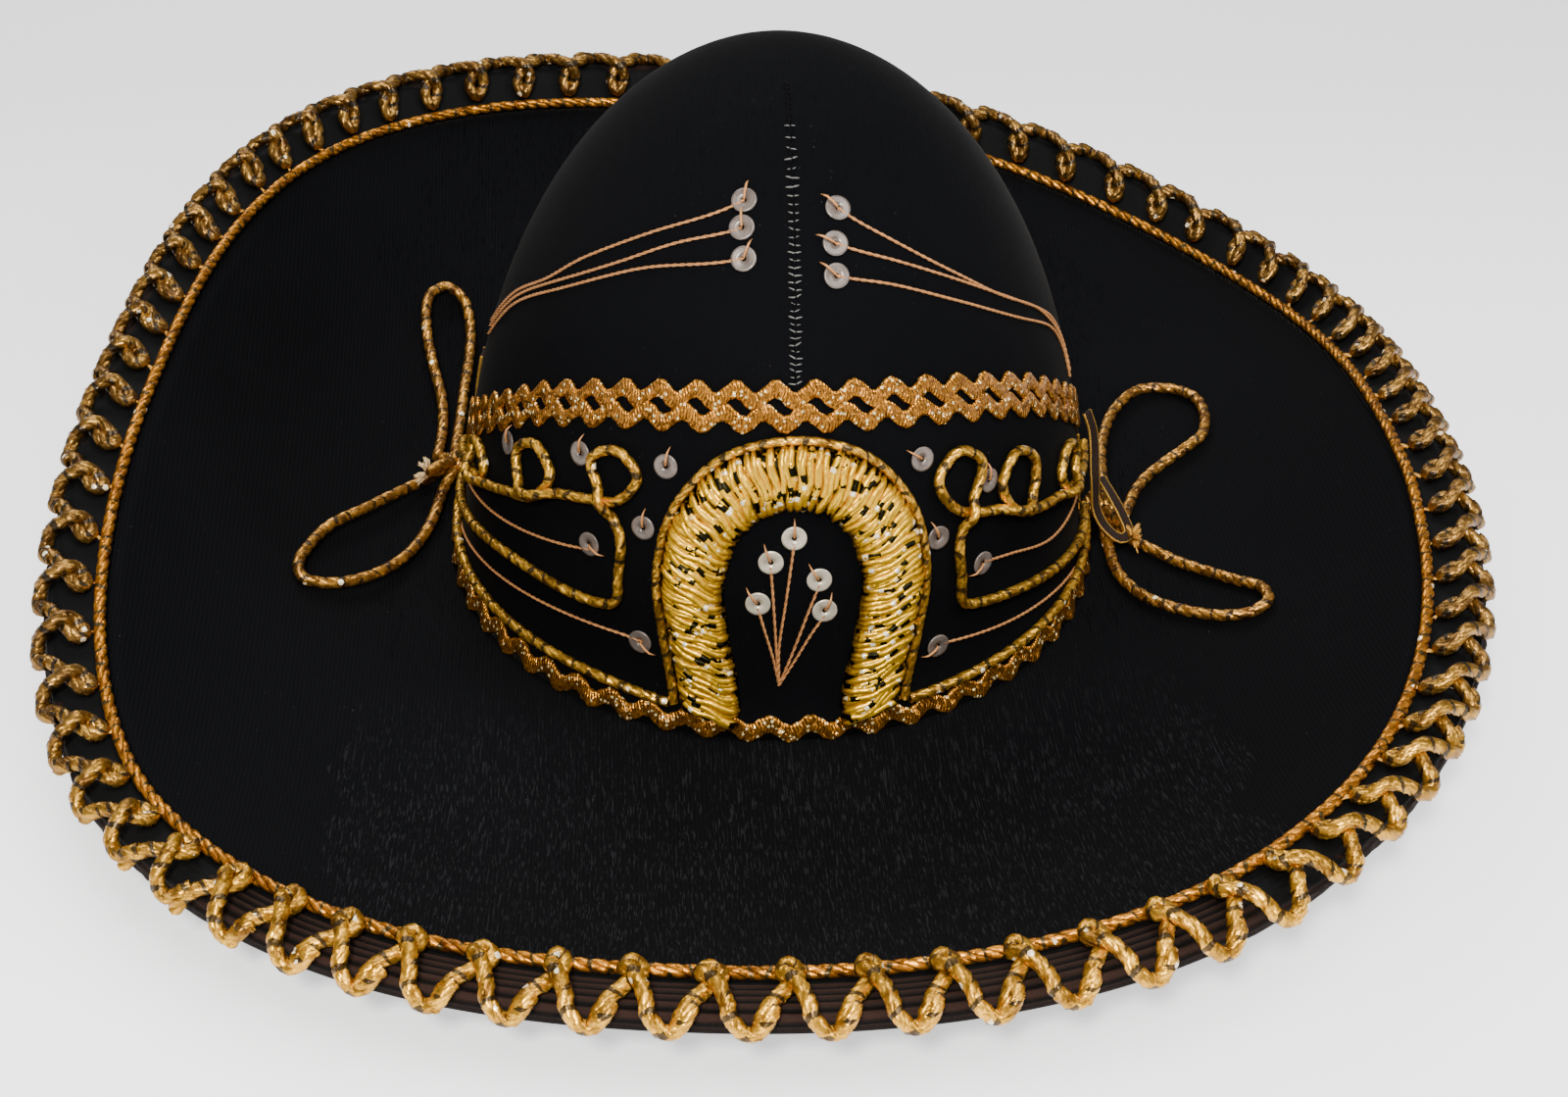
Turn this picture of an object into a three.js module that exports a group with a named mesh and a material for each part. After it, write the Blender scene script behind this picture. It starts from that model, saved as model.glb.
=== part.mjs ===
// A charro sombrero: velvet crown and brim, a thick ribbed brim edge under a looped gold cord,
// and a front panel with a horseshoe, scrolled cords, sequins and two rows of wavy braid.
// Millimetres, +Z up. The brim's flat underside lies on z = 0 and the hat faces -Y.
// Angles run in degrees from the front (-Y) towards +X, seen from above.
import * as THREE from 'three';

// Crown
const crownHeight = 179;
const crownWidth = 206;
const crownDepth = 222;
const crownWall = 3;
const crownSetBack = 6;
const crownLean = 2;
const footFlare = 7;
const footFade = 7;
const sideFullness = 2.1;
const depthFullness = 2.35;

// Brim, measured over the edge binding
const brimThickness = 3;
const brimWidth = 460;
const brimLength = 521;
const brimSquareness = 2.25;
const brimTurn = -6.5;
const brimFlatShare = 0.2;
const brimSweep = 1.7;
const rimRise = 52;

// Edge binding and its cords
const bindingWidth = 17.5;
const bindingThickness = 9;
const edgeCordDiameter = 4;
const trimCordDiameter = 4.2;
const trimLoops = 76;

// Crown ornament
const crownCordDiameter = 3.6;
const fineCordDiameter = 3;
const shoeWidth = 19;
const shoeThickness = 5;
const braidWidth = 3;
const braidThickness = 1.3;
const baseBraidHeight = 6.7;
const baseBraidWaves = 52;
const baseBraidSwing = 1.8;
const panelHeight = 112;
const panelBraidWaves = 30;
const panelBraidSwing = 1.8;
const sequinDiameter = 7.6;
const sequinThickness = 0.5;
const ribbonWidth = 5;
const ribbonThickness = 1;
const knotDiameter = 11;
const bowCordDiameter = 4;

// Clearance between neighbouring pieces
const seatGap = 0.3;

// Mesh fineness
const bigRadius = 10000;
const angleStep = 0.5;
const routeStep = 0.004;
const roundSteps = 60;
const crownSteps = 36;
const crownOuterRows = 12;
const crownInnerRows = 6;

const up = new THREE.Vector3(0, 0, 1);
const radians = THREE.MathUtils.degToRad;

// Rim rows, every 45 degrees from the front: rise as a share of rimRise, lean of the binding in
// degrees, reach as a share of the plan's radius
const rimRows = [
  { rise: 0.52, lean: 8, reach: 1.007 },
  { rise: 0.72, lean: 4, reach: 1.02 },
  { rise: 0.66, lean: 6, reach: 0.981 },
  { rise: 0.10, lean: 40, reach: 1.038 },
  { rise: 0.67, lean: 62, reach: 1.001 },
  { rise: 1.04, lean: 48, reach: 1.012 },
  { rise: 1.09, lean: 8, reach: 0.954 },
  { rise: 0.46, lean: 4, reach: 1.026 },
];
const rimCurve = new THREE.CatmullRomCurve3(
  rimRows.map((row) => new THREE.Vector3(row.rise * rimRise, row.lean, row.reach)), true);

function rimRow(angle) {
  const turn = ((angle % 360) + 360) % 360;
  const row = rimCurve.getPoint(turn / 360);
  return { rise: row.x, lean: radians(row.y), reach: row.z };
}

// Crown section at a height above the floor
function crownSection(height) {
  const share = Math.min(Math.max(height / crownHeight, 0), 1);
  const flare = footFlare * Math.exp(-height / footFade);
  return {
    halfWidth: crownWidth / 2 * (1 - share ** sideFullness) ** (1 / sideFullness) + flare,
    halfDepth: crownDepth / 2 * (1 - share ** depthFullness) ** (1 / depthFullness) + flare,
    x: crownLean * share,
    y: crownSetBack * (1 - share),
  };
}

function onCrown(angle, height) {
  const section = crownSection(height);
  return new THREE.Vector3(
    section.x + section.halfWidth * Math.sin(radians(angle)),
    section.y - section.halfDepth * Math.cos(radians(angle)),
    height);
}

function crownNormal(angle, height) {
  const around = onCrown(angle + angleStep, height).sub(onCrown(angle - angleStep, height));
  const upward = onCrown(angle, height + angleStep).sub(onCrown(angle, height - angleStep));
  return around.cross(upward).normalize();
}

function offCrown(angle, height, lift) {
  return onCrown(angle, height).addScaledVector(crownNormal(angle, height), lift);
}

// Outer line of the binding seen from above
function rimPlan(angle) {
  const sine = Math.sin(radians(angle));
  const cosine = Math.cos(radians(angle));
  const power = 2 / brimSquareness;
  return new THREE.Vector3(
    brimWidth / 2 * Math.sign(sine) * Math.abs(sine) ** power,
    -brimLength / 2 * Math.sign(cosine) * Math.abs(cosine) ** power,
    0).multiplyScalar(rimRow(angle).reach).applyAxisAngle(up, radians(brimTurn));
}

// Frame of the binding: its inner edge, the way out across its top face and that face's normal
function rimFrame(angle) {
  const { rise, lean } = rimRow(angle);
  const ahead = rimPlan(angle + angleStep).sub(rimPlan(angle - angleStep)).normalize();
  const outward = new THREE.Vector3(ahead.y, -ahead.x, 0);
  const across = outward.clone().multiplyScalar(Math.cos(lean)).addScaledVector(up, Math.sin(lean));
  const normal = new THREE.Vector3().crossVectors(across, ahead).normalize();
  const edge = rimPlan(angle).addScaledVector(outward, -bindingWidth * Math.cos(lean));
  edge.z = brimThickness + rise;
  return { edge, across, normal };
}

function onBinding(angle, outward, lift) {
  const frame = rimFrame(angle);
  return frame.edge.addScaledVector(frame.across, outward).addScaledVector(frame.normal, lift);
}

// Brim surface: share 0 is the crown's inner wall and share 1 the binding's inner edge
const crownFootHeight = brimThickness + seatGap;

function onBrim(angle, share, lift) {
  const section = crownSection(crownFootHeight);
  const inner = new THREE.Vector3(
    section.x + (section.halfWidth - crownWall) * Math.sin(radians(angle)),
    section.y - (section.halfDepth - crownWall) * Math.cos(radians(angle)),
    brimThickness);
  const outer = onBinding(angle, -seatGap, 0);
  const rise = Math.max(0, (share - brimFlatShare) / (1 - brimFlatShare)) ** brimSweep;
  const point = inner.clone().lerp(outer, share);
  point.z = brimThickness + (outer.z - brimThickness) * rise + lift;
  return point;
}

// Closed ring swept through a section listed anticlockwise, with x outward and y up;
// place(turn share, section point) gives each corner
function sweepRing(section, steps, place) {
  const loop = [...section, section[0]];
  const geometry = new THREE.LatheGeometry(loop.map((p) => new THREE.Vector2(p.x + bigRadius, p.y)), steps);
  const position = geometry.attributes.position;
  for (let i = 0; i <= steps; i += 1) {
    loop.forEach((p, j) => {
      const point = place((i % steps) / steps, p);
      position.setXYZ(i * loop.length + j, point.x, point.y, point.z);
    });
  }
  return geometry;
}

// Open sweep with flat ends along a route of frames
function sweepRoute(section, steps, frameAt) {
  const shape = new THREE.Shape(section);
  const geometry = new THREE.ExtrudeGeometry(shape, { depth: 1, steps, bevelEnabled: false });
  const position = geometry.attributes.position;
  for (let i = 0; i < position.count; i += 1) {
    const frame = frameAt(Math.round(position.getZ(i) * steps) / steps);
    const point = frame.point.addScaledVector(frame.side, position.getX(i))
      .addScaledVector(frame.normal, position.getY(i));
    position.setXYZ(i, point.x, point.y, point.z);
  }
  return geometry;
}

function roundSection(diameter, sides) {
  return Array.from({ length: sides }, (_, i) => {
    const turn = (i + 0.5) / sides * 2 * Math.PI;
    return new THREE.Vector2(diameter / 2 * Math.cos(turn), diameter / 2 * Math.sin(turn));
  });
}

function flatSection(width, thickness) {
  return [[1, 1], [-1, 1], [-1, -1], [1, -1]].map(
    ([x, y]) => new THREE.Vector2(x * width / 2, y * thickness / 2));
}

// Route on the crown through [angle, percent of panelHeight] points, lifted off the cloth, with frames
// for a sweep
function crownRoute(points, lift) {
  const curve = new THREE.CatmullRomCurve3(
    points.map(([angle, percent]) => new THREE.Vector3(angle, percent / 100 * panelHeight, 0)),
    false, 'centripetal');
  const at = (share) => curve.getPointAt(Math.min(Math.max(share, 0), 1));
  return (share) => {
    const here = at(share);
    const before = at(share - routeStep);
    const after = at(share + routeStep);
    const normal = crownNormal(here.x, here.y);
    const ahead = onCrown(after.x, after.y).sub(onCrown(before.x, before.y)).normalize();
    const side = ahead.clone().cross(normal).normalize().negate();
    return { point: offCrown(here.x, here.y, lift), side, normal };
  };
}

const material = {
  velvet: { color: 0x0b0b0c, roughness: 0.95, metalness: 0 },
  binding: { color: 0x2a1c18, roughness: 0.7, metalness: 0 },
  copperCord: { color: 0xb5602a, roughness: 0.45, metalness: 0.6 },
  goldCord: { color: 0xc9962f, roughness: 0.35, metalness: 0.8 },
  goldThread: { color: 0xd4a62a, roughness: 0.4, metalness: 0.7 },
  roseBraid: { color: 0xc98a4e, roughness: 0.35, metalness: 0.8 },
  sequin: { color: 0xcfc6b8, roughness: 0.25, metalness: 0.2 },
  ribbon: { color: 0x5a4638, roughness: 0.6, metalness: 0.1 },
};

const group = new THREE.Group();

function add(name, geometry, look) {
  const mesh = new THREE.Mesh(geometry, new THREE.MeshStandardMaterial(material[look]));
  mesh.name = name;
  group.add(mesh);
  return mesh;
}

// Crown: a hollow dome, outer skin then inner skin, closed round the foot
function makeCrown() {
  const shares = (count) => Array.from({ length: count + 1 }, (_, i) => i / count);
  const inner = shares(crownInnerRows).reverse();
  const outer = [0, 0.015, 0.04, ...shares(crownOuterRows).slice(1)];
  const profile = [...inner.map((share) => ({ share, wall: crownWall })),
    ...outer.map((share) => ({ share, wall: 0 }))];
  const points = profile.map((_, i) => new THREE.Vector2(i === 0 || i === profile.length - 1 ? 0 : 1, i));
  const geometry = new THREE.LatheGeometry(points, crownSteps);
  const position = geometry.attributes.position;
  for (let i = 0; i <= crownSteps; i += 1) {
    profile.forEach((row, j) => {
      const top = crownHeight - row.wall;
      const height = crownFootHeight + (top - crownFootHeight) * Math.sin(row.share * Math.PI / 2);
      const section = crownSection(Math.min(height * crownHeight / top, crownHeight));
      const foot = crownSection(crownFootHeight);
      const atTop = row.share === 1;
      const angle = radians((i % crownSteps) / crownSteps * 360);
      const width = atTop ? 0 : Math.max(section.halfWidth - row.wall, 0);
      const depth = atTop ? 0 : Math.max(section.halfDepth - row.wall, 0);
      const isFoot = row.share === 0;
      const x = section.x + (isFoot ? foot.halfWidth - row.wall : width) * Math.sin(angle);
      const y = section.y - (isFoot ? foot.halfDepth - row.wall : depth) * Math.cos(angle);
      position.setXYZ(i * profile.length + j, x, y, height);
    });
  }
  return geometry;
}
add('crown', makeCrown(), 'velvet');

// Brim: a dished sheet between the crown's foot and the binding
const brimShares = [0, brimFlatShare, 0.42, 0.64, 0.84, 1];
const brimSection = [
  ...brimShares.map((share) => ({ x: share, y: -brimThickness })),
  ...brimShares.slice().reverse().map((share) => ({ x: share, y: 0 })),
];
add('brim', sweepRing(brimSection, roundSteps, (turn, p) => onBrim(turn * 360, p.x, p.y)), 'velvet');

// Binding: thin where it meets the brim, thick and rounded outside
const bindingSection = [
  [0, -brimThickness / bindingThickness], [0.72, -1], [0.94, -0.88],
  [1, -0.55], [0.93, -0.22], [0.70, 0.02], [0, 0],
].map(([x, y]) => ({ x: x * bindingWidth, y: y * bindingThickness }));
add('edge_binding', sweepRing(bindingSection, roundSteps, (turn, p) => onBinding(turn * 360, p.x, p.y)),
  'binding');

// Copper cord laid on the binding beside its joint with the brim
const edgeCordLift = edgeCordDiameter / 2 + seatGap;
add('edge_cord', sweepRing(roundSection(edgeCordDiameter, 4), roundSteps,
  (turn, p) => onBinding(turn * 360, p.x + edgeCordDiameter / 2, edgeCordLift + p.y)), 'copperCord');

// Looped gold cord: each repeat has a head beside the copper cord and an arch over the outer face.
// along is a share of one repeat, out a share of the binding's width, lift a share of the cord's
// diameter and tip the lean of the cord over the edge in degrees.
const trimRows = [
  { along: 0.00, out: 0.38, lift: 0.55, tip: 0 },
  { along: 0.24, out: 0.66, lift: 0.7, tip: 10 },
  { along: 0.38, out: 1.16, lift: -0.35, tip: 65 },
  { along: 0.62, out: 1.16, lift: -0.35, tip: 65 },
  { along: 0.76, out: 0.66, lift: 0.7, tip: 10 },
];
class RimLine extends THREE.Curve {
  getPoint(share) {
    return rimPlan(share * 360);
  }
}
const rimLine = new RimLine();
rimLine.arcLengthDivisions = 720;

function trimCorner(index) {
  const row = trimRows[((index % trimRows.length) + trimRows.length) % trimRows.length];
  const share = (Math.floor(index / trimRows.length) + row.along) / trimLoops;
  const angle = rimLine.getUtoTmapping(((share % 1) + 1) % 1) * 360;
  const frame = rimFrame(angle);
  const point = onBinding(angle, row.out * bindingWidth, row.lift * trimCordDiameter + seatGap);
  const normal = frame.normal.clone().multiplyScalar(Math.cos(radians(row.tip)))
    .addScaledVector(frame.across, Math.sin(radians(row.tip)));
  return { point, normal };
}

function makeTrim() {
  const corners = trimLoops * trimRows.length;
  return sweepRing(roundSection(trimCordDiameter, 4), corners, (turn, p) => {
    const index = Math.round(turn * corners);
    const { point, normal } = trimCorner(index);
    const ahead = trimCorner(index + 1).point.sub(trimCorner(index - 1).point).normalize();
    const side = ahead.clone().cross(normal).normalize();
    return point.addScaledVector(side, p.x).addScaledVector(side.clone().cross(ahead).negate(), -p.y);
  });
}
add('loop_trim', makeTrim(), 'goldCord');

// Wavy braid round the crown's foot, over its seam with the brim
const braidLift = braidThickness / 2 + seatGap;
const wave = (step) => (step % 2 === 0 ? -1 : 1);
const braidSection = flatSection(braidThickness, braidWidth);
add('base_braid', sweepRing(braidSection, baseBraidWaves * 2, (turn, p) => {
  const swing = baseBraidSwing * wave(Math.round(turn * baseBraidWaves * 2));
  return offCrown(turn * 360, baseBraidHeight + swing + p.y, braidLift + p.x);
}), 'roseBraid');

// Two wavy braids over the panel, high in front and falling to the sides
const panelRows = [
  [-97, 0.40], [-89, 0.47], [-70, 0.68], [-53, 0.84], [-30, 0.955], [0, 1],
  [30, 0.955], [53, 0.84], [70, 0.68], [89, 0.47], [97, 0.40],
];
const panelCurve = new THREE.CatmullRomCurve3(
  panelRows.map(([angle, share]) => new THREE.Vector3(angle, share * panelHeight, 0)));

function panelBraid(rise) {
  const steps = panelBraidWaves * 2;
  const section = flatSection(braidWidth, braidThickness);
  return sweepRoute(section, steps, (share) => {
    const here = panelCurve.getPointAt(share);
    const swing = panelBraidSwing * wave(Math.round(share * steps));
    const height = here.y + rise + swing;
    const normal = crownNormal(here.x, height);
    const side = onCrown(here.x, height + 1).sub(onCrown(here.x, height)).normalize();
    return { point: offCrown(here.x, height, braidLift), side, normal };
  });
}
const braidSpacing = panelBraidSwing + braidWidth / 2 + seatGap;
add('panel_braid_upper', panelBraid(braidSpacing), 'roseBraid');
add('panel_braid_lower', panelBraid(-braidSpacing), 'roseBraid');

// Padded horseshoe and the fine cord round it
const shoeRows = [
  [-13.5, 10.5], [-14.2, 19.5], [-16, 34], [-17.5, 52], [-15, 68.5], [-8.5, 79], [0, 82],
  [8.5, 79], [15, 68.5], [17.5, 52], [16, 34], [14.2, 19.5], [13.5, 10.5],
];
const shoeRoute = crownRoute(shoeRows, seatGap);
const shoeSection = [[0.5, 0], [0.36, 0.68], [0, 1], [-0.36, 0.68], [-0.5, 0]].map(
  ([x, y]) => new THREE.Vector2(x * shoeWidth, y * shoeThickness));
add('horseshoe', sweepRoute(shoeSection, 20, shoeRoute), 'goldThread');
const shoeCordOffset = shoeWidth / 2 + fineCordDiameter / 2 + seatGap;
const shoeCordInset = 0.01;
add('horseshoe_cord', sweepRoute(roundSection(fineCordDiameter, 5), 24, (share) => {
  const frame = shoeRoute(shoeCordInset + (1 - 2 * shoeCordInset) * share);
  frame.point.addScaledVector(frame.side, shoeCordOffset).addScaledVector(frame.normal, fineCordDiameter / 3);
  return frame;
}), 'goldCord');

// Scrolled cords: open loops under the panel braid, then a drop and a long sweep back to the side
const loopNeck = 1.3;
function scrollLoop({ angle, base, top, spread }, turn) {
  const neck = loopNeck * turn;
  const middle = (base + 2 * top) / 3;
  return [[angle - neck, base], [angle - spread * turn, middle], [angle, top],
    [angle + spread * turn, middle], [angle + neck, base]];
}
const leftScroll = [
  [-96, 32], [-87, 37.5], [-80, 42], ...scrollLoop({ angle: -74, base: 44.5, top: 53.5, spread: 4.5 }, 1),
  [-67, 47.5], [-60, 52], ...scrollLoop({ angle: -53.5, base: 57, top: 71.5, spread: 5 }, 1),
  [-46, 62.5], [-39, 65.5], ...scrollLoop({ angle: -34.5, base: 68, top: 81.5, spread: 5 }, 1),
  [-31.5, 59], [-31, 46.5], [-31.5, 38], [-36, 36], [-42, 35.5], [-55, 34.5], [-71, 29.5], [-86, 23],
  [-98, 18],
];
const rightScroll = [
  [84, 40], [78, 38.5], [72, 41], ...scrollLoop({ angle: 66, base: 44.5, top: 57, spread: 4.5 }, -1),
  [59, 47.5], [53, 50], ...scrollLoop({ angle: 47, base: 54.5, top: 71.5, spread: 5 }, -1),
  [40.5, 59], [37, 60.5], ...scrollLoop({ angle: 32.5, base: 64.5, top: 80.5, spread: 5 }, -1),
  [31, 55.5], [31, 44.5], [31.5, 35.5], [35, 33.5], [45, 30], [57, 25.5], [73, 19.5], [86, 15],
];
const cordLift = crownCordDiameter / 2 + seatGap;
const crownCord = (points, steps, sides) => sweepRoute(
  roundSection(crownCordDiameter, sides), steps, crownRoute(points, cordLift));
add('scroll_cord_left', crownCord(leftScroll, 52, 4), 'goldCord');
add('scroll_cord_right', crownCord(rightScroll, 50, 4), 'goldCord');

// Cords along the foot of the panel, from each side to the horseshoe
const leftBaseCord = [[-98, 11.5], [-80, 11.5], [-60, 12.5], [-45, 13], [-32, 13], [-23.5, 12]];
const rightBaseCord = [[23.5, 11.5], [32, 11.5], [45, 11.5], [60, 11.5], [75, 11.5], [84, 11.5]];
add('base_cord_left', crownCord(leftBaseCord, 17, 5), 'goldCord');
add('base_cord_right', crownCord(rightBaseCord, 13, 5), 'goldCord');

// Sequins by place: angle and height of each centre, the height in percent of panelHeight
const sequins = {
  shoe: [[0, 65], [-4, 58], [4.5, 52.5], [-6, 45.5], [5.5, 43]],
  left: [[-63.5, 64], [-43, 76], [-24.5, 81], [-27.5, 62.5], [-38, 52], [-26.5, 27.5]],
  right: [[25, 81.5], [39.5, 68], [27, 58], [36.5, 44.5], [26.5, 24]],
};
// Sequins high on the crown: angle of each centre and its drop below the crown's top
const crownSequins = {
  crown_left: [[-17, 18.28], [-16, 23.88], [-14, 30.6]],
  crown_right: [[15, 19.96], [12, 27.24], [11, 34.52]],
};
const discSides = 8;
function addSequins(places, heightOf) {
  for (const [place, points] of Object.entries(places)) {
    points.forEach(([angle, rise], i) => {
      const height = heightOf(rise);
      const geometry = new THREE.CylinderGeometry(
        sequinDiameter / 2, sequinDiameter / 2, sequinThickness, discSides);
      const disc = add(`sequin_${place}_${i + 1}`, geometry, 'sequin');
      disc.position.copy(offCrown(angle, height, seatGap + sequinThickness / 2));
      disc.quaternion.setFromUnitVectors(new THREE.Vector3(0, 1, 0), crownNormal(angle, height));
    });
  }
}
addSequins(sequins, (percent) => percent / 100 * panelHeight);
addSequins(crownSequins, (drop) => crownHeight - drop);

// Side ribbons that climb the crown from each knot
const ribbonSection = flatSection(ribbonWidth, ribbonThickness);
const ribbonLift = ribbonThickness / 2 + seatGap;
add('ribbon_left', sweepRoute(ribbonSection, 6,
  crownRoute([[-108, 13], [-105, 27], [-101.5, 45], [-100, 59]], ribbonLift)), 'ribbon');
add('ribbon_right', sweepRoute(ribbonSection, 5,
  crownRoute([[90, 13], [90, 27], [89, 39]], ribbonLift)), 'ribbon');

// Knots that gather the cords where crown and brim meet
function addKnot(name, angle) {
  const radius = knotDiameter / 2;
  const height = brimThickness + radius + 2 * seatGap;
  const wall = onCrown(angle, height);
  const outward = new THREE.Vector3(Math.sin(radians(angle)), -Math.cos(radians(angle)), 0);
  const knot = add(name, new THREE.SphereGeometry(radius, 8, 5), 'goldCord');
  knot.position.copy(wall).addScaledVector(outward, radius + braidThickness + 2 * seatGap);
}
addKnot('knot_left', -109);
addKnot('knot_right', 92);

// Loose bow loops that lie on the brim
const bowLoops = {
  bow_loop_left_back: [
    [-115, 51, 7], [-114, 70, 7], [-115, 88, 9], [-119, 107, 13.5], [-122, 128, 18], [-121, 142, 22],
    [-115, 148, 22], [-109, 144, 19], [-106, 130, 14], [-106, 112, 11], [-107, 95, 9.5], [-108, 75, 7],
    [-109, 52, 7],
  ],
  bow_loop_left_front: [
    [-118, 39, 6], [-127, 28, 8], [-138, 13, 11], [-148, -1, 14], [-154, -16, 15.5], [-156, -27, 16.5],
    [-154, -33, 15], [-147, -32, 12], [-139, -28, 10], [-130, -20, 8], [-122, -7, 6], [-116, 9, 6],
    [-112, 33, 6],
  ],
  bow_loop_right_back: [
    [117, 14, 6], [118, 39, 6], [122, 60, 6.5], [129, 77, 7], [139, 88, 7.5], [149, 88, 8],
    [157, 80, 9.5], [159, 68, 10.5], [156, 53, 10], [149, 45, 9.5], [138, 36, 7.5], [129, 25, 6.5],
    [121, 6, 6],
  ],
  bow_loop_right_front: [
    [113, -9, 6], [114, -27, 6], [120, -41, 6.5], [128, -50, 8], [136, -56, 9.5], [143, -61, 12],
    [151, -63, 14.5], [157, -59, 16], [157, -50, 15], [150, -41, 12], [142, -31, 9], [134, -22, 7],
    [127, -14, 6.5], [120, -6, 6],
  ],
};
for (const [name, points] of Object.entries(bowLoops)) {
  const route = new THREE.CatmullRomCurve3(points.map((p) => new THREE.Vector3(...p)), false, 'centripetal');
  const shape = new THREE.Shape(roundSection(bowCordDiameter, 8));
  add(name, new THREE.ExtrudeGeometry(shape, { steps: 15, extrudePath: route }), 'goldCord');
}

export default group;
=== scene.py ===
# A charro sombrero in black velvet with gold cord, braid and sequins.
# Shapes are worked out in millimetres and become meshes in metres. The hat faces -Y, its brim lies on z = 0,
# and angles run in degrees from the front towards +X, seen from above.
import math

import bpy
import numpy as np
from mathutils import Matrix, Vector


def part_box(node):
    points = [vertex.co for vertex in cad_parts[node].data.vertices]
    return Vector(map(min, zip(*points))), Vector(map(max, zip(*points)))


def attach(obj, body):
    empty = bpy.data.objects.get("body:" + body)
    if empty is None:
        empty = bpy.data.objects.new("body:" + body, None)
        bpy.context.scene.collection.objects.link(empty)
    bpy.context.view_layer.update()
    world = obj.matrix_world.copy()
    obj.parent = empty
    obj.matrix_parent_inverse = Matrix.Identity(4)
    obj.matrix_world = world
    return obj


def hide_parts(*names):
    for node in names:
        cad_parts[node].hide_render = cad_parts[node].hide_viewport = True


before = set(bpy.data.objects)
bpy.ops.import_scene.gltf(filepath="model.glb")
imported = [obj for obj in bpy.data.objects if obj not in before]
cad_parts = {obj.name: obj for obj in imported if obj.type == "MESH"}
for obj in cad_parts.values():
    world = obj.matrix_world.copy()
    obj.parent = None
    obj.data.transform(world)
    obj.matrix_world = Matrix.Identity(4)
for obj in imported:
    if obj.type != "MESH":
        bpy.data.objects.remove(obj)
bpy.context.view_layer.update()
mm = 0.001
rng = np.random.default_rng(7)

# Camera, at the photograph's angle, for a frame of 1600 x 1119
camera = {"target": (4.12, -0.47, 0.51), "distance": 973.63, "elevation": 34.07, "azimuth": -3.55,
          "roll": 0.81, "focal": 2925.32, "imageWidth": 1600, "sensor": 36}


def makeCamera():
    azimuth, elevation, roll = (math.radians(camera[k]) for k in ("azimuth", "elevation", "roll"))
    back = Vector((math.sin(azimuth) * math.cos(elevation), -math.cos(azimuth) * math.cos(elevation),
                   math.sin(elevation)))
    right = (-back).cross(Vector((0, 0, 1))).normalized()
    upward = back.cross(right)
    turned = math.cos(roll) * right + math.sin(roll) * upward
    over = math.cos(roll) * upward - math.sin(roll) * right
    lens = bpy.data.cameras.new("camera")
    lens.sensor_width = camera["sensor"]
    lens.lens = camera["focal"] * camera["sensor"] / camera["imageWidth"]
    lens.sensor_fit = "HORIZONTAL"
    holder = bpy.data.objects.new("camera", lens)
    holder.matrix_world = Matrix((turned, over, back)).transposed().to_4x4()
    holder.location = (Vector(camera["target"]) + camera["distance"] * back) * mm
    bpy.context.scene.collection.objects.link(holder)
    bpy.context.scene.camera = holder


makeCamera()


# Node trees. Val wraps a socket and adds a Math node for each sum, Tree adds every other node.
class Val:
    def __init__(self, tree, socket):
        self.tree = tree
        self.socket = socket

    def math(self, operation, first, *others):
        inputs = dict(enumerate((first,) + others))
        return self.tree.add("ShaderNodeMath", {"operation": operation}, inputs)

    def sine(self):
        return self.math("SINE", self)

    def cosine(self):
        return self.math("COSINE", self)

    def rounded(self):
        return self.math("ROUND", self)

    def size(self):
        return self.math("ABSOLUTE", self)

    def of(self, name):
        return Val(self.tree, pick(self.socket.node.outputs, name))


operators = {"add": "ADD", "sub": "SUBTRACT", "mul": "MULTIPLY", "truediv": "DIVIDE", "gt": "GREATER_THAN",
             "lt": "LESS_THAN", "mod": "FLOORED_MODULO"}
for word, operation in operators.items():
    setattr(Val, f"__{word}__", lambda self, other, kind=operation: self.math(kind, self, other))
    setattr(Val, f"__r{word}__", lambda self, other, kind=operation: self.math(kind, other, self))


def pick(sockets, key):
    if isinstance(key, int):
        return sockets[key]
    return next(s for s in sockets if key in (s.name, s.identifier))


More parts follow.
